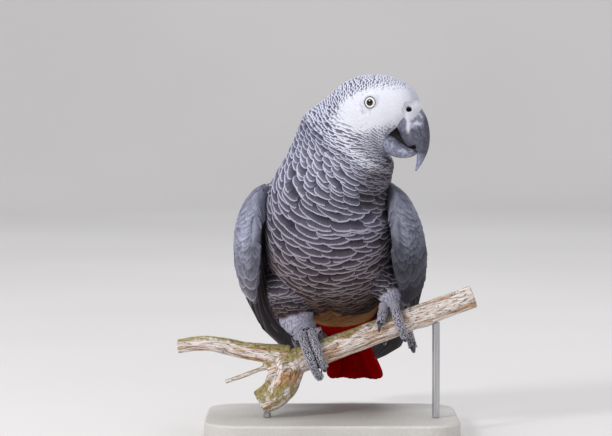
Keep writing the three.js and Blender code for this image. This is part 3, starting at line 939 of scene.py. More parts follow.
def feather_look(name, roughness, edge, fade, dark, barbs, fine=1.5, specular=0.15):
    """Vanes with a pale edge that fades inwards to the ground colour, which painted shade darkens where
    the next vane covers it. The barbs streak it all, with fine of them a millimetre, and fray the edge."""
    look = Look(name, roughness, Specular_IOR_Level=specular)
    streak = look.noise(look.scaled(look.attribute("barb", "Vector"), (fine, fine * 0.12, 1)), 1.0, 3.0, 0.6)
    frayed = look.math("ADD", look.part("vane", 1), look.times(look.math("SUBTRACT", streak, 0.5), 0.5))
    level = look.ramp(streak, 0.3, 0.7, 1 - barbs, 1 + barbs)
    level = look.times(level, look.ramp(look.part("vane", 2), 0.0, 1.0, 0.9, 1.1))
    level = look.times(level, look.ramp(look.grain(0.006), 0.3, 0.7, 0.94, 1.06))
    # Painted shade: the ground darkens to dark times its colour where the next vane covers it.
    level = look.times(look.ramp(frayed, 0.35, 1.15, 1.0, dark), level)
    ground = look.shaded(level, look.attribute("ground"))
    pale = look.ramp(frayed, edge, edge + fade, 1.0, 0.0)
    colour = look.mixed(pale, ground, look.attribute("fringe"))
    return look.finish(colour, look.bump(streak, 0.00015, 0.6))


def skin_look():
    look = Look("skin", 0.65, Subsurface_Weight=0.05, Specular_IOR_Level=0.3)
    colour = look.shaded(look.ramp(look.grain(0.0022, 4.0), 0.3, 0.7, 0.94, 1.05), look.attribute("ground"))
    return look.finish(colour, look.bump(look.grain(0.0007, 3.0), 0.00015, 0.6))


# The fifth number of each look is dark, how deep the painted shade under a covering vane goes.
SOFT = feather_look("coat_soft", 0.85, 0.28, 0.28, 0.56, 0.1, 2.6)
FLUFFY = feather_look("coat_fluffy", 0.9, 0.1, 0.6, 0.85, 0.12, 1.2)
SCALLOPED = feather_look("coat_scalloped", 0.8, 0.03, 0.27, 0.43, 0.34, 2.0)
SLEEK = feather_look("coat_sleek", 0.7, 0.0, 0.3, 0.68, 0.36, 2.2)
RED = feather_look("coat_red", 0.9, 0.0, 0.3, 0.6, 0.16, specular=0.0)

# ---- the coat, tract by tract

VISIBLE = (
    [1, 3, 5, 6, 7, 8, 9, 10, 11, 12, 13, 14, 15, 16, 17, 19],
    [1.4, 1.7, 1.8, 1.9, 2.2, 2.9, 3.6, 4.3, 4.9, 4.7, 3.9, 3.3, 2.8, 3.4, 6, 8],
)
BROADER = (
    [1, 3, 5, 7, 8.5, 10, 12, 14, 15.5, 17, 19],
    [1.3, 1.6, 1.9, 2.1, 2.4, 2.6, 2.7, 3.1, 3.2, 1.8, 1.5],
)
# How far the vanes turn from the way onwards to the back, at the flesh's sides. The cheeks' turn down.
LIE = (
    [1, 2, 3, 4, 5, 6, 7, 8, 9, 10, 12, 13, 14, 15, 16],
    [0, -0.1, -0.2, -0.2, -0.15, -0.05, 0.1, 0.3, 0.45, 0.5, 0.5, 0.45, 0.3, 0.15, 0],
)
LIE_LEFT = ([7, 8, 9, 11, 13, 14, 16], [0, -0.1, -0.25, -0.3, 0.0, 0.15, 0])  # the bird's left below the neck

# The forms of vanes: points along and across them, and how far their sides drop back from the tip.
SMALL = dict(rows=[0, 0.55, 0.82, 1], columns=[-1, -0.7, -0.25, 0.25, 0.7, 1], drop=0.4, cup=0.1, patch=0.003)
CHEEK = dict(SMALL, rows=[0, 0.5, 0.78, 1], drop=0.26, blunt=2.6, cup=0.06)
CHEEK["columns"] = [-1, -0.8, -0.45, 0, 0.45, 0.8, 1]
BROAD = dict(drop=0.17, blunt=2.8, cup=0.04, rise=1.15, rag=0.008, patch=0.006)
BROAD["rows"] = [0, 0.35, 0.6, 0.8, 0.93, 1]
BROAD["columns"] = [-1, -0.85, -0.62, -0.38, -0.13, 0.13, 0.38, 0.62, 0.85, 1]
COVERTS = dict(BROAD, drop=0.5, cup=0.05, rise=1.0, patch=0.005)
FLIGHT = dict(rows=[0, 0.12, 0.25, 0.4, 0.55, 0.7, 0.82, 0.9, 0.95, 0.985, 1], root=0.7, drop=0.06)
FLIGHT["columns"] = [-1, -0.9, -0.7, -0.3, -0.05, 0, 0.05, 0.35, 0.7, 1]
FLUFF = dict(SMALL, columns=[-1, -0.5, 0, 0.5, 1], drop=0.8, blunt=1.4, rag=0.03, patch=0.004)
SCALE = dict(rows=[0, 0.2, 0.5, 0.8, 1], columns=[-1, -0.5, 0, 0.5, 1], drop=0.5, root=0.35, cup=0, dome=0.28)
SCALE["patch"] = 0.003


def flesh_spacing(s, turn):
    """How much of each vane shows below the one over it, and how far it is to the one beside it."""
    along = np.interp(s, *VISIBLE)
    return along, along * np.interp(s, *BROADER)


def bare(points):
    """Where nothing grows: the cere, the gape and a ring round each eye."""
    left, forward, up = head_places(points)
    found = (up < -12) & (up > -34) & (np.abs(left) < 11.5) & (forward > 15.6 + 0.41 * (up + 18))
    found |= from_cere(points, 0.4, 0, 0) < 1
    for side in SIDES.values():
        out, away = from_eye(points, side)
        found |= (away < 6.2) & (out > -2)
        found |= np.linalg.norm(points - nostril_centre(side), axis=1) < NOSTRIL.hole + 3.2
    return found


def flesh_batch(s_from, s_to, style, long_by, wide_by, atlas):
    loose = smooth(4, 11, s_from)
    roots = rows_of_roots(
        flesh, s_from, s_to, flesh_spacing, jitter=mix(0.04, 0.13, loose), wave=mix(0.1, 0.55, loose)
    )
    roots = roots[:, ~bare(flesh(*roots[:2], 0 * roots[0]))]
    s, turn, run = roots
    points = flesh(s, turn, 0 * s)
    along, across = flesh_spacing(s, turn)
    count = len(s)
    length = along * long_by * rng.normal(1, 0.07, count)
    width = across * wide_by * rng.normal(1, 0.1, count)
    tip = rng.normal(0, 0.1, count) * np.minimum(1, along / 4)
    cheek = mix(1, smooth(0.7, -0.2, np.sin(turn)), smooth(7.5, 6, s))
    sideways = np.sign(np.cos(turn)) * np.abs(np.cos(turn)) ** mix(1, 0.6, smooth(7, 9, s))
    leaning = np.where((sideways > 0) & (s > 7), np.interp(s, *LIE_LEFT), np.interp(s, *LIE))
    under = smooth(2.5, 4.5, s) * smooth(8.5, 7, s) * smooth(0.5, -0.2, np.sin(turn))
    falling = toward(flesh, s, turn, -facing(HEAD_YAW) * 0.45 - UP * 0.9)
    lie = mix(leaning * sideways * cheek, falling, under) + rng.normal(0, mix(0.04, 0.11, loose), count)
    white = whiteness(points)
    # A larger shown keeps the painted shade under covering vanes off the white face and the first rows.
    shown = run / (1 - 0.84 * white) * mix(4, 1, smooth(0.9, 2.2, s))
    lifts = (coat_depth(s) * (1 - 0.5 * white), tip)
    colours = flesh_colours(s, turn, points)
    return vanes(flesh, (s, turn), lie, (length, width), lifts, shown, colours, style, atlas)


head_atlas = ring_atlas(0.8, 7.8)
body_atlas = ring_atlas(7, 16)
crown = flesh_batch(0.7, 5, SMALL, 2.5, 1.5, head_atlas)
cheeks = flesh_batch(5, 7.6, CHEEK, 2.7, 1.45, head_atlas)
coat("coat_head", [crown, cheeks], SOFT, "feathers_pale")
coat("coat_neck", [flesh_batch(7.45, 10.2, BROAD, 2.8, 1.42, body_atlas)], SCALLOPED, "feathers_grey")
coat("coat_breast", [flesh_batch(10.2, 15.9, BROAD, 3.0, 1.4, body_atlas)], SCALLOPED, "feathers_grey")
coat("coat_vent", [flesh_batch(15.9, 18.9, BROAD, 2.6, 1.6, ring_atlas(14.8, 19))], RED, "feathers_red")

# ---- wings

# The coverts end on a slant, lower edge first. The flight feathers root under their ends.
WING_TONES = [  # along the wing's stations, as for the flesh
    (0, (158, 160, 180), (164, 166, 186)),
    (1.5, (132, 133, 152), (138, 139, 158)),
    (3, (98, 96, 110), (107, 105, 119)),
    (4.5, (76, 72, 82), (88, 84, 94)),
    (8, (56, 53, 58), (74, 71, 76)),
]
# Distance before the coverts' end in stations, what shows of each, the spacing across and the length.
COVERT_ROWS = [(0.92, 6.5, 6.0, 17), (0.62, 9.0, 6.5, 20), (0.2, 13.0, 7.0, 24)]


def coverts_end(turn):
    """The station at which the coverts end, for the height of the turn on the wing."""
    return 2.8 + 1.5 * np.sin(turn)


def wing_colours(side, s, turn):
    """Pale on the shoulder and on the rough patch by the wrist. Dark along the lower edge, partly as the
    feathers' own tone and partly as painted shade. Painted shade by height darkens both wings towards
    the bottom, the left wing much more, so the left wing is the darker; painted shade also dims its wrist
    patch."""
    height = wing_surface(side)(s, turn, 0 * s)[:, 2]
    # Along the lower edge: partly the feathers' own darkness and partly painted shade.
    low = smooth(-0.1, -0.95, np.sin(turn))
    # Painted shade by height, far deeper on the left wing, and a little painted light at the right wing's
    # top.
    shade = mix(0.9, 1.08, smooth(30, 90, height)) if side < 0 else mix(0.16, 0.94, smooth(40, 112, height))
    wrist = bell(height, 45, 15) * smooth(-0.45, -0.75, np.sin(turn)) * smooth(3.3, 2.2, s)
    made = []
    for column, darker, patch in ((1, 0.4, srgb(124, 119, 131)), (2, 0.3, srgb(186, 182, 195))):
        colour = along_table(WING_TONES, s, column) * ((1 - darker * low) * shade)[:, None]
        # The left wing's wrist patch is dimmed as painted shade.
        made.append(tint(colour, patch, wrist * (1 if side < 0 else 0.1)))
    return made


def laid_on_wing(side, roots, length, width, atlas, jitter, over=0.05):
    s, turn, run = roots
    surface = wing_surface(side)
    count = len(s)
    tip = rng.normal(over, 0.08, count)
    way = UP * -0.62 - facing(BODY_YAW) * 0.78
    lie = toward(surface, s, turn, way) + rng.normal(0, jitter, count)
    size = (length * rng.normal(1, 0.06, count), width * rng.normal(1, 0.06, count))
    lifts = (np.minimum(1.3, 0.35 * between(WING, s)[:, 4]), tip)
    colours = wing_colours(side, s, turn)
    return vanes(surface, (s, turn), lie, size, lifts, np.minimum(run, 7.0), colours, COVERTS, atlas)


def covert_batches(side, atlas):
    """Small coverts all over the shoulder, then rows of longer ones along the coverts' end."""
    surface = wing_surface(side)
    spacing = lambda s, turn: (3.0 + 0.5 * s, 4.2 + 0.6 * s)
    roots = rows_of_roots(surface, 0.08, 4.3, spacing, (-2.6, 2.6), 0.2, 0.6)
    before = coverts_end(roots[1]) - roots[0]
    outer = before > 0.85
    inner = ~outer & (before > 0.1) & (np.cos(roots[1]) < 0.1)
    made = []
    for chosen, long_by, wide_by in ((outer, 3.2, 2.1), (inner, 4, 2.6)):
        some = roots[:, chosen]
        made.append(laid_on_wing(side, some, long_by * some[2], wide_by * some[2], atlas, 0.1))
    for before, shown, across, length in COVERT_ROWS:
        around_edge = np.linspace(-1.45, 1.6, 200)
        line = travelled(surface(coverts_end(around_edge) - before, around_edge, 0 * around_edge))
        turn = np.interp(np.arange(0, line[-1], across), line, around_edge)
        some = (coverts_end(turn) - before, turn, shown + 0 * turn)
        made.append(laid_on_wing(side, some, length, 1.7 * across, atlas, 0.04, 0.9))
    return made


def long_vane(points, t, v, size, colours, uv, patch):
    """One long vane's record. Its pale edge runs along v = -1 and round the tip."""
    length, width = size
    random = np.full(len(t), rng.random())
    off_shaft = np.abs(v) * width / 2
    return {
        "points": points,
        "faces": grid_faces(1, len(FLIGHT["rows"]), len(FLIGHT["columns"])),
        "ground": np.tile(colours[0], (len(t), 1)),
        "fringe": np.tile(colours[1], (len(t), 1)),
        "vane": np.stack([v, np.minimum((1 - t) * length, (1 + v) * width / 2) / 3.5, random], 1),
        "barb": np.stack([t * length * 0.8 - off_shaft + 40 * random, off_shaft, 0 * t], 1),
        "uv": uv + np.stack([v / 2 * patch[0], (t - 0.5) * patch[1]], 1),
    }


def flight_vane(surface, end, low, reach, lift, colours, atlas, inner=False):
    """A long vane on the wing's outer or inner face, from -1 at its lower edge to 1."""
    t, v, aside, outline = vane_shape(FLIGHT)
    centre = low + reach
    root_turn = np.arcsin(np.clip(centre, -1, 1))
    start = coverts_end(root_turn) - 0.5
    rounded = aside * np.sqrt(1.01 - np.clip(t * 1.1 - 0.1, 0, 1) ** 6)
    turn = np.arcsin(np.clip(centre + reach * rounded, -0.999, 0.999))
    raised = lift + 0.2 * bell(v, 0, 0.12) * (1 - t) - 0.32 * v
    points = surface(mix(start, end, t * outline), math.pi - turn if inner else turn, raised)
    length = np.linalg.norm(points[v == 0][-1] - points[v == 0][0])
    width = np.linalg.norm(points[(t == 0.55) & (v == 1)] - points[(t == 0.55) & (v == -1)])
    root = atlas(np.array([mix(start, end, 0.4)]), np.array([root_turn]))
    return long_vane(points, t, v, (length, width), colours, root, (0.02, 0.1))


def flight_batches(side, atlas):
    surface = wing_surface(side)
    made = []
    for k in range(9):  # primaries, the longest lowest, with the vanes of the wing's inner face
        # The left wing's primaries are painted darker, as painted shade.
        dark = mix(srgb(76, 72, 78), srgb(92, 89, 99), k / 9) * (1 if side < 0 else 0.4)
        outer, inner = (dark, dark * 1.9), (dark * 1.25, dark * 4)
        low, lift = -1.0 + 0.075 * k, -0.9 + 0.1 * k
        made.append(flight_vane(surface, 8.0 - 0.26 * k, low, 0.15, lift, outer, atlas))
        low, lift = -0.98 + 0.16 * k, -0.3 + 0.05 * k
        made.append(flight_vane(surface, 7.9 - 0.3 * k, low, 0.18, lift, inner, atlas, True))
    for k in range(10):  # secondaries, the innermost on top
        # The left wing's secondaries are painted darker, as painted shade.
        grey = mix(srgb(84, 82, 94), srgb(104, 103, 118), k / 10) * (1 if side < 0 else 0.5)
        end, low, lift = 5.9 - 0.12 * abs(k - 3), -0.5 + 0.14 * k, -0.2 + 0.05 * k
        made.append(flight_vane(surface, end, low, 0.17, lift, (grey, grey * 1.6), atlas))
    return made


for name, side in SIDES.items():
    atlas = ring_atlas(0, 8)
    coat(f"coat_wing_{name}", covert_batches(side, atlas), SLEEK, "feathers_grey")
    coat(f"flight_feathers_{name}", flight_batches(side, atlas), SLEEK, "feathers_dark")


def scapulars():
    """Long feathers from the back's sides that lie out over the wings' upper edges."""
    roots = rows_of_roots(flesh, 10.4, 13.6, even(6.5, 8.0), wave=0.3)
    s, turn, run = roots[:, (np.sin(roots[1]) > 0.3) & (np.abs(np.cos(roots[1])) > 0.45)]
    size = (rng.normal(15, 1, len(s)), rng.normal(14, 0.6, len(s)))
    way = left_of(BODY_YAW) * np.sign(np.cos(turn))[:, None] * 0.4 - UP * 0.9
    lie = toward(flesh, s, turn, way) + rng.normal(0, 0.06, len(s))
    lifts = (coat_depth(s), 0.3 + 0.5 * np.abs(np.cos(turn)))
    colours = flesh_colours(s, turn, flesh(s, turn, 0 * s))
    return vanes(flesh, (s, turn), lie, size, lifts, run, colours, BROAD, body_atlas)


coat("coat_scapulars", [scapulars()], SCALLOPED, "feathers_grey")

# ---- tail

TAIL = Sizes(root=(2, 96, 5), slope=math.radians(32), length=94, count=12, half=6.5, root_half=8, arch=1.6)
TAIL_SPREAD = math.radians(10.5)


def tail_feather(number):
    t, v, aside, _ = vane_shape(FLIGHT)
    place = 2 * (number + 0.5) / TAIL.count - 1
    angle = TAIL_SPREAD * place
    length = TAIL.length * (1 - 0.05 * place**2) * (0.985 + 0.015 * math.cos(5 * number))
    round_end = np.sqrt(1.01 - np.clip(t * 1.15 - 0.15, 0, 1) ** 8)
    along = length * t * math.cos(angle) - 1.2 * np.abs(v) * (t > 0.9)
    across = TAIL.root_half * place + length * t * math.sin(angle) - TAIL.half * 0.8 * place * t
    across = across + TAIL.half * (0.55 + 0.45 * t) * aside * round_end
    height = 0.2 - 1.1 * abs(place) - TAIL.arch * place**2 * t - 0.5 * v**2
    c, s = math.cos(TAIL.slope), math.sin(TAIL.slope)
    left, back, up = TAIL.root
    points = in_body(left + across, back + along * c + height * s, up - along * s + height * c)
    red = srgb(140, 1, 4) * rng.normal(1, 0.1)
    inner_edge = v * (1 if place < 0 else -1)
    uv = at(0.04 + 0.083 * number, 0.5)
    # The darker edge of each tail feather is painted shade between neighbouring feathers.
    return long_vane(points, t, inner_edge, (length, 12), (red, red * 0.55), uv, (0.05, 0.6))


coat("tail_feathers", [tail_feather(k) for k in range(TAIL.count)], RED, "feathers_red", "tail")

# ---- legs


def thigh_batch(foot, style):
    """Pale fluff above the foot, or scallops like the belly's from there up into the flank."""
    surface, last = tube_surface(rows_in(in_body, foot.thigh), THIGH_ACROSS)
    low, high, along, ratios = 0.1, foot.fluff_end, 2.0, [1, 1, 1]
    if style is BROAD:
        low, high, along, ratios = foot.fluff_end + 0.25, last - 0.1, 3.3, [1.5, 2.3, 3.0]
    ratio = lambda s: np.interp(s, [1, 3, 4], ratios)
    s, turn, run = rows_of_roots(surface, low, high, lambda s, turn: (along + 0 * s, along * ratio(s)))
    count = len(s)
    if style is BROAD:
        high = smooth(22, 52, surface(s, turn, 0 * s)[:, 2])
        ground = tint(srgb(52, 42, 40), srgb(80, 73, 84), high)
        fringe = tint(srgb(98, 83, 80), srgb(158, 151, 164), high)
        length = along * 2.6 * rng.normal(1, 0.05, count)
    else:
        ground, fringe = (np.tile(tone, (count, 1)) for tone in (srgb(166, 164, 182), srgb(202, 200, 220)))
        length = rng.normal(6.5, 0.7, count) * np.interp(s, [0, 0.6, 3], [0.6, 0.9, 1])
    size = (length, along * ratio(s) * 1.45)
    lie = toward(surface, s, turn, -UP) + rng.normal(0, 0.08, count)
    lifts = (1.9, rng.normal(0, 0.1, count))
    return vanes(surface, (s, turn), lie, size, lifts, run, (ground, fringe), style, ring_atlas(0, 3))


coat("coat_thighs", [thigh_batch(foot, FLUFF) for foot in FEET.values()], FLUFFY, "feathers_pale")
coat("coat_flanks", [thigh_batch(foot, BROAD) for foot in FEET.values()], SCALLOPED, "feathers_grey")


def scale_batch(stations, size):
    surface, last = tube_surface(stations, SIDEWAYS)
    s, turn, run = rows_of_roots(surface, 0.02, last, even(size, size * 1.05), jitter=0.12)
    count = len(s)
    pale = srgb(178, 175, 188) * rng.normal(1, 0.1, (count, 1))
    length = size * rng.normal(1.0, 0.08, count)
    lie = rng.normal(0, 0.4, count)
    size, colours = (length, length * 0.84), (pale, pale * 0.8)
    return vanes(surface, (s, turn), lie, size, (0.12, -0.12), run, colours, SCALE, ring_atlas(0, last))


scales = []
leg_tubes = []
for foot in FEET.values():
    tubes = [tarsus_stations(foot)] + [toe_stations(foot, shape) for shape in foot.toes]
    scales += [scale_batch(stations, size) for stations, size in zip(tubes, [1.5] + [1.15] * 4)]
    leg_tubes += tubes
coat("scales", scales, feather_look("scales", 0.5, 0.05, 0.1, 0.95, 0.06), "scales")

# ---- colour of the skin


def tree_of(points):
    tree = KDTree(len(points))
    for i, p in enumerate(points):
        tree.insert(p, i)
    tree.balance()
    return tree


def colour_skin():
    """The skin takes the markings of the vanes that root in it, and its own where it is bare."""
    roots = [points_of(made)[::7] for made in coats]
    colours = [read(made.data.attributes["ground"].data, "color", 4)[::7, :3] for made in coats]
    for side in SIDES.values():  # the inner faces of the wings
        turn, s = crossed(np.linspace(0, FULL_TURN, 70), np.linspace(3, 8, 110))
        roots.append(wing_surface(side)(s, turn, 0 * s))
        colours.append(np.tile(srgb(84, 82, 92), (len(s), 1)))
    tree = tree_of(np.concatenate(roots))
    points = points_of(skin)
    tone = np.concatenate(colours)[[tree.find(p)[1] for p in points]] * 0.8
    left, forward, up = head_places(points)
    near_head = smooth(-18, -8, forward) * smooth(-26, -18, up)
    tone = tint(tone, FACE_WHITE * 0.95, whiteness(points) * near_head)
    tone = tint(tone, srgb(194, 195, 210), smooth(20, 25, forward) * smooth(-14, -8, up))
    tone = tint(tone, srgb(220, 220, 229), 1 - smooth(0.8, 1.2, from_cere(points, 2.5, 3, 2.5)))
    for side in SIDES.values():
        out, away = from_eye(points, side)
        lid = tint(srgb(206, 209, 226), srgb(232, 233, 242), smooth(4.6, 6.4, away))
        bare_ring = tint(tone, lid, 1 - smooth(6.0, 7.4, away))
        rim = smooth(EYE.opening + 0.1, EYE.opening + 0.5, away)
        tone = np.where((out > 0)[:, None], tint(srgb(30, 28, 34), bare_ring, rim), tone)
        # Painted shade in each nostril's hole.
        out, away = from_axis(points, nostril_centre(side), nostril_axis(side))
        hole = np.where(np.abs(out) < 5, away / NOSTRIL.hole, 9)
        tone = tint(srgb(24, 21, 24), tone, smooth(0.85, 1.05, hole))
    # The gape's near-black lining: partly the tongue's own dark, partly painted shade.
    mouth = (np.abs(left) < 8.5) & (forward > 9) & (up < -14.5) & (up > -31)
    tone[mouth & (forward + 0.62 * (up + 12) > 5)] = srgb(30, 24, 27)
    for stations in leg_tubes:
        surface, last = tube_surface(stations, SIDEWAYS)
        turn, s = crossed(np.linspace(0, FULL_TURN, 9), np.linspace(0, last, 30))
        leg = tree_of(surface(s, turn, 0 * s))
        for i in np.nonzero(points[:, 2] < 26)[0]:
            if leg.find(points[i])[2] < 1.6:
                tone[i] = srgb(30, 28, 32)
    put(skin, "ground", tone)


colour_skin()
FLESH_NODES = ["head", "neck", "trunk", "tail_coverts", "cere"]
for name in FEET:
    FLESH_NODES += [f"thigh_{name}", f"tarsus_{name}", f"wing_{name}_coverts", f"wing_{name}_flight_feathers"]
    FLESH_NODES += [f"toe_{name}_{toe}" for toe in TOE_NAMES]
dressed(skin, skin_look(), "feathers_pale", *FLESH_NODES)

# ---- eyes

PUPIL = 2.3
IRIS = 3.52


def eye_look():
    look = Look("eye", 0.4, Coat_Weight=1.0, Coat_IOR=1.5, Coat_Roughness=0.02, Specular_IOR_Level=0.0)
    away = look.part("gaze", 0)
    streak = look.noise(look.scaled(look.attribute("gaze", "Vector"), (0.5, 9.0, 0)), 1.6, 3.0)
    colour = look.blend(streak, 0.3, 0.7, (244, 237, 219), (254, 251, 243))
    colour = look.blend(away, PUPIL, PUPIL + 0.45, (204, 195, 166), colour)
    colour = look.blend(away, IRIS - 0.1, IRIS + 0.08, colour, (14, 12, 14))
    colour = look.blend(away, PUPIL - 0.06, PUPIL + 0.06, (3, 3, 4), colour)
    return look.finish(colour, None)


def make_eye(name, side, look):
    """An eyeball whose rings are centred on its own axis."""
    rings, sides = 48, 64
    polar, turn = crossed(np.linspace(0.004, math.pi - 0.004, rings), around(sides))
    radius = EYE.radius
    away = radius * np.sin(polar)
    out = side * (EYE.side + radius * np.cos(polar))
    points = in_head(out, EYE.forward + away * np.cos(turn), EYE.up + away * np.sin(turn))
    faces = ring_faces(rings, sides)
    made = mesh_object(f"eyeball_{name}", points, faces if side > 0 else faces[:, ::-1])
    put(made, "gaze", np.stack([away + 9 * (polar > math.pi / 2), np.sin(3 * turn), 0 * polar], 1))
    dressed(made, look, "eye", f"eye_{name}")


EYE_LOOK = eye_look()
for name, side in SIDES.items():
    make_eye(name, side, EYE_LOOK)

# ---- bill


def bill_rows(sections):
    """Middle, half height vector and half width of each section, forward and up in the head's frame."""
    made = [[*np.add(ridge, edge) / 2, *np.subtract(ridge, edge) / 2, half] for ridge, edge, half in sections]
    return np.array(made)


UPPER_BILL = bill_rows([
    ([27, -3], [13, -14], 9),
    ([33.5, -2], [18.4, -16.2], 11),
    ([38.2, -9], [22, -23.8], 10.4),
    ([40.4, -19], [26.2, -28.7], 8.8),
    ([39.8, -29.3], [31.2, -28], 6.2),
    ([36, -38.5], [31.9, -36.6], 3.2),
    ([31.1, -45.3], [30.3, -44.6], 0.7),
])
LOWER_BILL = bill_rows([
    ([7.3, -31.5], [12.4, -17.8], 8.5),
    ([12.2, -34.4], [16.6, -21.2], 9.7),
    ([18.8, -36.4], [21.6, -25.8], 9.2),
    ([25.4, -36.2], [26.6, -29.3], 7.4),
    ([29.4, -34.9], [30, -30.3], 5),
    ([31, -33.6], [31.4, -31.6], 2.4),
])


def bill_surface(rows):
    def surface(s, turn, lift):
        row = between(rows, s)
        tall = np.linalg.norm(row[:, 2:4], axis=1)
        rise = (tall + lift) * np.sin(turn) / np.maximum(tall, 1e-6)
        aside = (row[:, 4] + lift) * np.cos(turn) * (1 - 0.22 * np.sin(turn))
        return in_head(aside, row[:, 0] + rise * row[:, 2], row[:, 1] + rise * row[:, 3])

    return surface


def upper_horn_colours(points, reach):
    """Slate, with a mottled root, a round lobe by the gape, a pale streak before it and a bluish tip."""
    left, forward, up = head_places(points)
    mottle = noise(points, 1.6, 1)
    colour = tint(srgb(74, 73, 87), srgb(92, 92, 108), smooth(-0.6, 0.6, mottle))
    low = up - 0.15 * (forward - 30) + 1.2 * noise(points, 1.6, 2)
    root = smooth(-17.5, -14, low) * smooth(38.5, 36.5, forward + mottle)
    colour = tint(colour, tint(srgb(126, 126, 144), srgb(204, 204, 220), smooth(-0.5, 0.6, mottle)), root)
    lobe = bell(forward, 24.7, 3.6) * bell(up, -13, 4.8)
    colour = tint(colour, srgb(104, 105, 124) * (1 + 0.5 * mottle[:, None]), smooth(0.25, 0.4, lobe))
    streak = bell(forward - 0.6 * mottle, 29, 1.1) * smooth(-21, -17, up) * smooth(4, 7, np.abs(left))
    border = bell(lobe, 0.26, 0.09) * smooth(-17, -11, up)
    colour = tint(colour, srgb(214, 214, 226), np.clip(streak + border, 0, 1) * 0.9)
    tip = tint(srgb(118, 122, 146), srgb(152, 158, 186), smooth(-0.5, 0.5, mottle))
    return tint(colour, tip, smooth(0.73, 0.82, reach))


def lower_horn_colours(points, reach):
    """Grey, darker and speckled by the gape."""
    _, forward, up = head_places(points)
    mottle = smooth(-0.7, 0.7, noise(points, 1.5, 4) + 0.4 * noise(points, 0.7, 5))
    dark = 0.7 * bell(forward, 17, 6) * bell(up, -25, 4.5) * (1 - 0.6 * mottle)
    return tint(tint(srgb(122, 123, 142), srgb(172, 174, 196), mottle), srgb(92, 92, 108), dark)


def horn_look():
    """Horn in the colours of its points, paler in scratches and darker along the cutting edge."""
    look = Look("horn", 0.42, Specular_IOR_Level=0.35)
    mottle = look.grain(0.0016, 5.0, 0.7)
    fine = look.grain(0.0006, 3.0)
    colour = look.shaded(look.ramp(mottle, 0.3, 0.7, 0.86, 1.16), look.attribute("ground"))
    colour = look.shaded(look.ramp(look.part("horn", 0), -0.995, -0.95, 0.5, 1.0), colour)
    colour = look.shaded(look.ramp(look.part("horn", 1), 0.86, 0.97, 1.0, 0.72), colour)
    scratches = look.ramp(look.grain(0.0006, 3.0, stretch=(1, 1, 0.25)), 0.58, 0.74, 0.0, 0.4)
    colour = look.mixed(scratches, colour, (172, 172, 190))
    relief = look.bump(fine, 0.00012, 0.5, look.bump(mottle, 0.0005, 0.4))
    return look.finish(colour, relief, look.ramp(fine, 0.3, 0.7, 0.34, 0.55))


def make_bill(node, rows, lowest, look, colours):
    """One half of the bill. The cutting edge's height is -1, and lowest keeps its shade off."""
    s, sides = np.linspace(0, len(rows) - 1, 96), 72
    points, faces = facing_out(*closed_loft(bill_surface(rows), s, sides))
    places = np.concatenate([np.repeat(s / s[-1], sides), [0, 1]])
    heights = np.concatenate([np.tile(np.sin(around(sides)), len(s)), [0, 0]])
    made = mesh_object(f"{node}_horn", points, faces)
    put(made, "horn", np.stack([np.maximum(heights, lowest), heights, places], 1))
    put(made, "ground", colours(points, places))
    dressed(made, look, "bill", node)


HORN = horn_look()
make_bill("bill_upper", UPPER_BILL, -1, HORN, upper_horn_colours)
make_bill("bill_lower", LOWER_BILL, -0.9, HORN, lower_horn_colours)

# ---- claws


def claw_look():
    look = Look("claw", 0.35, Coat_Weight=0.3, Coat_Roughness=0.25)
    long = look.grain(0.0012, 4.0)
    colour = look.blend(long, 0.35, 0.7, (40, 38, 42), (82, 80, 88))
    return look.finish(colour, look.bump(long, 0.0002, 0.4))


def make_claws():
    parts, nodes = [], []
    for name, foot in FEET.items():
        for toe, shape in zip(TOE_NAMES, foot.toes):
            parts.append(facing_out(*tube(claw_stations(foot, shape), SIDEWAYS, 20, 16)))
            nodes.append(f"claw_{name}_{toe}")
    dressed(mesh_object("claws", *joined(parts)), claw_look(), "claws", *nodes)


make_claws()

# ---- branch


def bark_look():
    look = Look("bark", 0.85)
    grain = look.attribute("grain", "Vector")
    fibres = look.noise(grain, 1.6, 6.0, 0.62)
    cracks = look.node("TexVoronoi", {"Vector": grain, "Scale": 0.9}, feature="DISTANCE_TO_EDGE")
    pale = look.blend(fibres, 0.35, 0.65, (206, 186, 174), (253, 245, 240))
    tan = look.blend(fibres, 0.35, 0.6, (140, 88, 50), (206, 166, 126))
    colour = look.blend(look.noise(grain, 0.32, 3.0), 0.5, 0.62, pale, tan)
    crack = look.ramp(look.math("ADD", cracks, look.times(fibres, 0.12)), 0.06, 0.13, 1.0, 0.0)
    colour = look.mixed(look.times(crack, 0.8), colour, (64, 44, 32))
    mossy = look.times(look.attribute("mossy", "Fac"), 0.42)
    lichen = look.ramp(look.math("ADD", look.grain(0.0035, 5.0, 0.7), mossy), 0.66, 0.8)
    green = look.blend(look.grain(0.0012, 3.0), 0.35, 0.65, (122, 104, 52), (172, 162, 96))
    colour = look.mixed(look.times(lichen, 0.9), colour, green)
    relief = look.bump(crack, -0.0006, 0.5, look.bump(fibres, 0.0009, 0.6))
    return look.finish(colour, look.bump(lichen, 0.0005, 0.5, relief))


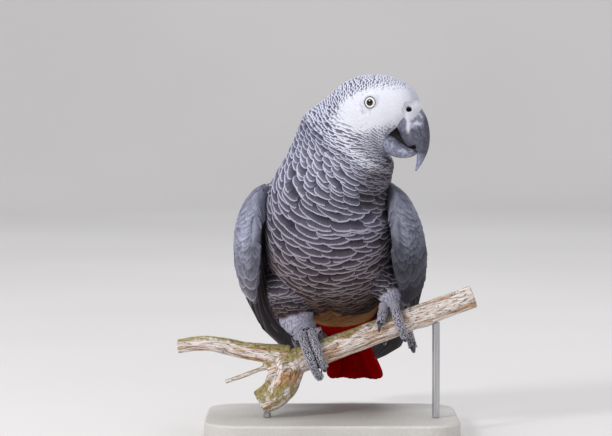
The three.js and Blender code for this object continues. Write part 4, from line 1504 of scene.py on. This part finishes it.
def make_branch():
    lines = []
    for number, stations in enumerate(BRANCH.values()):
        line = between(stations, np.linspace(0, len(stations) - 1, 90))
        lines.append(np.column_stack([line, travelled(line[:, :3]), np.full(len(line), number)]))
    lines = np.concatenate(lines)
    parts = [tube(stations, DEPTHWISE, 30, 32, -0.15) for stations in BRANCH.values()]
    branch = remeshed("branch", parts, 0.8, 6)
    points = points_of(branch)
    nearest = []
    for some in np.array_split(points, 10):
        gap = np.linalg.norm(some[:, None] - lines[None, :, :3], axis=2) - lines[None, :, 3]
        nearest.append(gap.argmin(1))
    line = lines[np.concatenate(nearest)]
    off = (points - line[:, :3]) * 0.8
    grain = np.stack([line[:, 4] * 0.09 + line[:, 5] * 40, off[:, 1], off[:, 2]], 1)
    put(branch, "grain", grain)
    fork = bell(np.linalg.norm(points - at(-32, 0, -12), axis=1), 0, 17)
    lower = smooth(-18, -34, points[:, 2])
    normals = read(branch.data.vertices, "normal", 3)
    top = smooth(0.1, 0.9, normals[:, 2]) * smooth(80, 30, points[:, 0])
    put(branch, "mossy", np.clip(0.7 * top + 0.5 * fork + 0.5 * lower, 0, 1))
    ridges = noise(grain, 1.3, 3) * 0.35 + noise(grain, 0.6, 5) * 0.16
    knobs = noise(points, 4.5, 1) * 1.3 * fork + noise(points, 9, 2) * 0.45
    clear = smooth(5, 11, np.abs(points[:, 0] + 14)) * smooth(5, 12, np.abs(points[:, 0] - 42))  # of the feet
    moved = (ridges + knobs * mix(0.25, 1, clear)) * mix(0.6, 1, clear) - 0.3
    set_points(branch, points + normals * moved[:, None])
    dressed(branch, bark_look(), "bark", *BRANCH)


make_branch()

# ---- stand


def base_look():
    look = Look("base", 0.55, Coat_Weight=0.1, Coat_Roughness=0.4)
    fine = look.grain(0.0009, 4.0)
    colour = look.blend(look.grain(0.03), 0.3, 0.7, (204, 200, 194), (214, 211, 206))
    colour = look.mixed(look.ramp(fine, 0.35, 0.65, 0.0, 0.3), colour, (190, 186, 180))
    return look.finish(colour, look.bump(fine, 0.0001, 0.3), look.ramp(fine, 0.3, 0.7, 0.45, 0.65))


def rod_look():
    look = Look("rod", 0.3, Metallic=1.0)
    brushed = look.grain(0.0012, 4.0, stretch=(1, 1, 0.04))
    colour = look.blend(brushed, 0.3, 0.7, (168, 169, 172), (204, 205, 208))
    return look.finish(colour, look.bump(brushed, 0.00006, 0.3), look.ramp(brushed, 0.3, 0.7, 0.22, 0.4))


for node, look in (("stand_base", base_look()), ("stand_rod_1", rod_look()), ("stand_rod_2", rod_look())):
    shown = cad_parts[node]
    shown.data.materials.clear()
    shown.data.materials.append(look)

# ---- floor, light and camera

LIT = Vector((0, 0, 0.15))  # what the lamps face, in metres
FLOOR = Sizes(flat=1500, radius=3200, bend=900, sides=96, below=0.2)


def make_stage():
    """A pale round floor whose rim sweeps up into a low backdrop on every side."""
    bend = FLOOR.bend
    profile = [(0, 0), (FLOOR.flat, 0)]
    for a in np.linspace(0, math.pi / 2, 14):
        profile.append((FLOOR.radius + bend * math.sin(a), bend * (1 - math.cos(a))))
    turns = around(FLOOR.sides)
    points = [(r * math.cos(a), r * math.sin(a), z - FLOOR.below) for r, z in profile for a in turns]
    made = mesh_object("floor", np.array(points) - BIRD, ring_faces(len(profile), FLOOR.sides))
    look = Look("floor", 0.9)
    colour = look.blend(look.grain(0.5), 0.3, 0.7, (224, 221, 219), (230, 227, 225))
    made.data.materials.append(look.finish(colour, None))


def lamp(name, place, size, power):
    light = bpy.data.lights.new(name, "AREA")
    light.shape = "DISK"
    light.size = size
    light.energy = power
    made = linked(name, light)
    made.location = place
    made.rotation_euler = (LIT - Vector(place)).to_track_quat("-Z", "Y").to_euler()


make_stage()
lamp("key", (-1.35, -1.4, 1.02), 0.5, 20)
lamp("fill", (1.5, -1.4, 0.8), 1.2, 1)
lamp("top", (0.0, 0.2, 3.4), 3.4, 60)
world = bpy.data.worlds.new("world")
world.use_nodes = True
world.node_tree.nodes["Background"].inputs[0].default_value = (0.93, 0.95, 1.0, 1)
world.node_tree.nodes["Background"].inputs[1].default_value = 0.52
bpy.context.scene.world = world

CAMERA = Sizes(place=(-0.01793, -1.71567, 0.23856), down=3.0, lens=145, sensor=36)
camera = linked("camera", bpy.data.cameras.new("camera"))
camera.data.lens = CAMERA.lens
camera.data.sensor_width = CAMERA.sensor
camera.data.clip_start = 0.1
camera.location = CAMERA.place
camera.rotation_euler = (math.radians(90 - CAMERA.down), 0, 0)
bpy.context.scene.camera = camera
bpy.context.scene.view_settings.view_transform = "Standard"
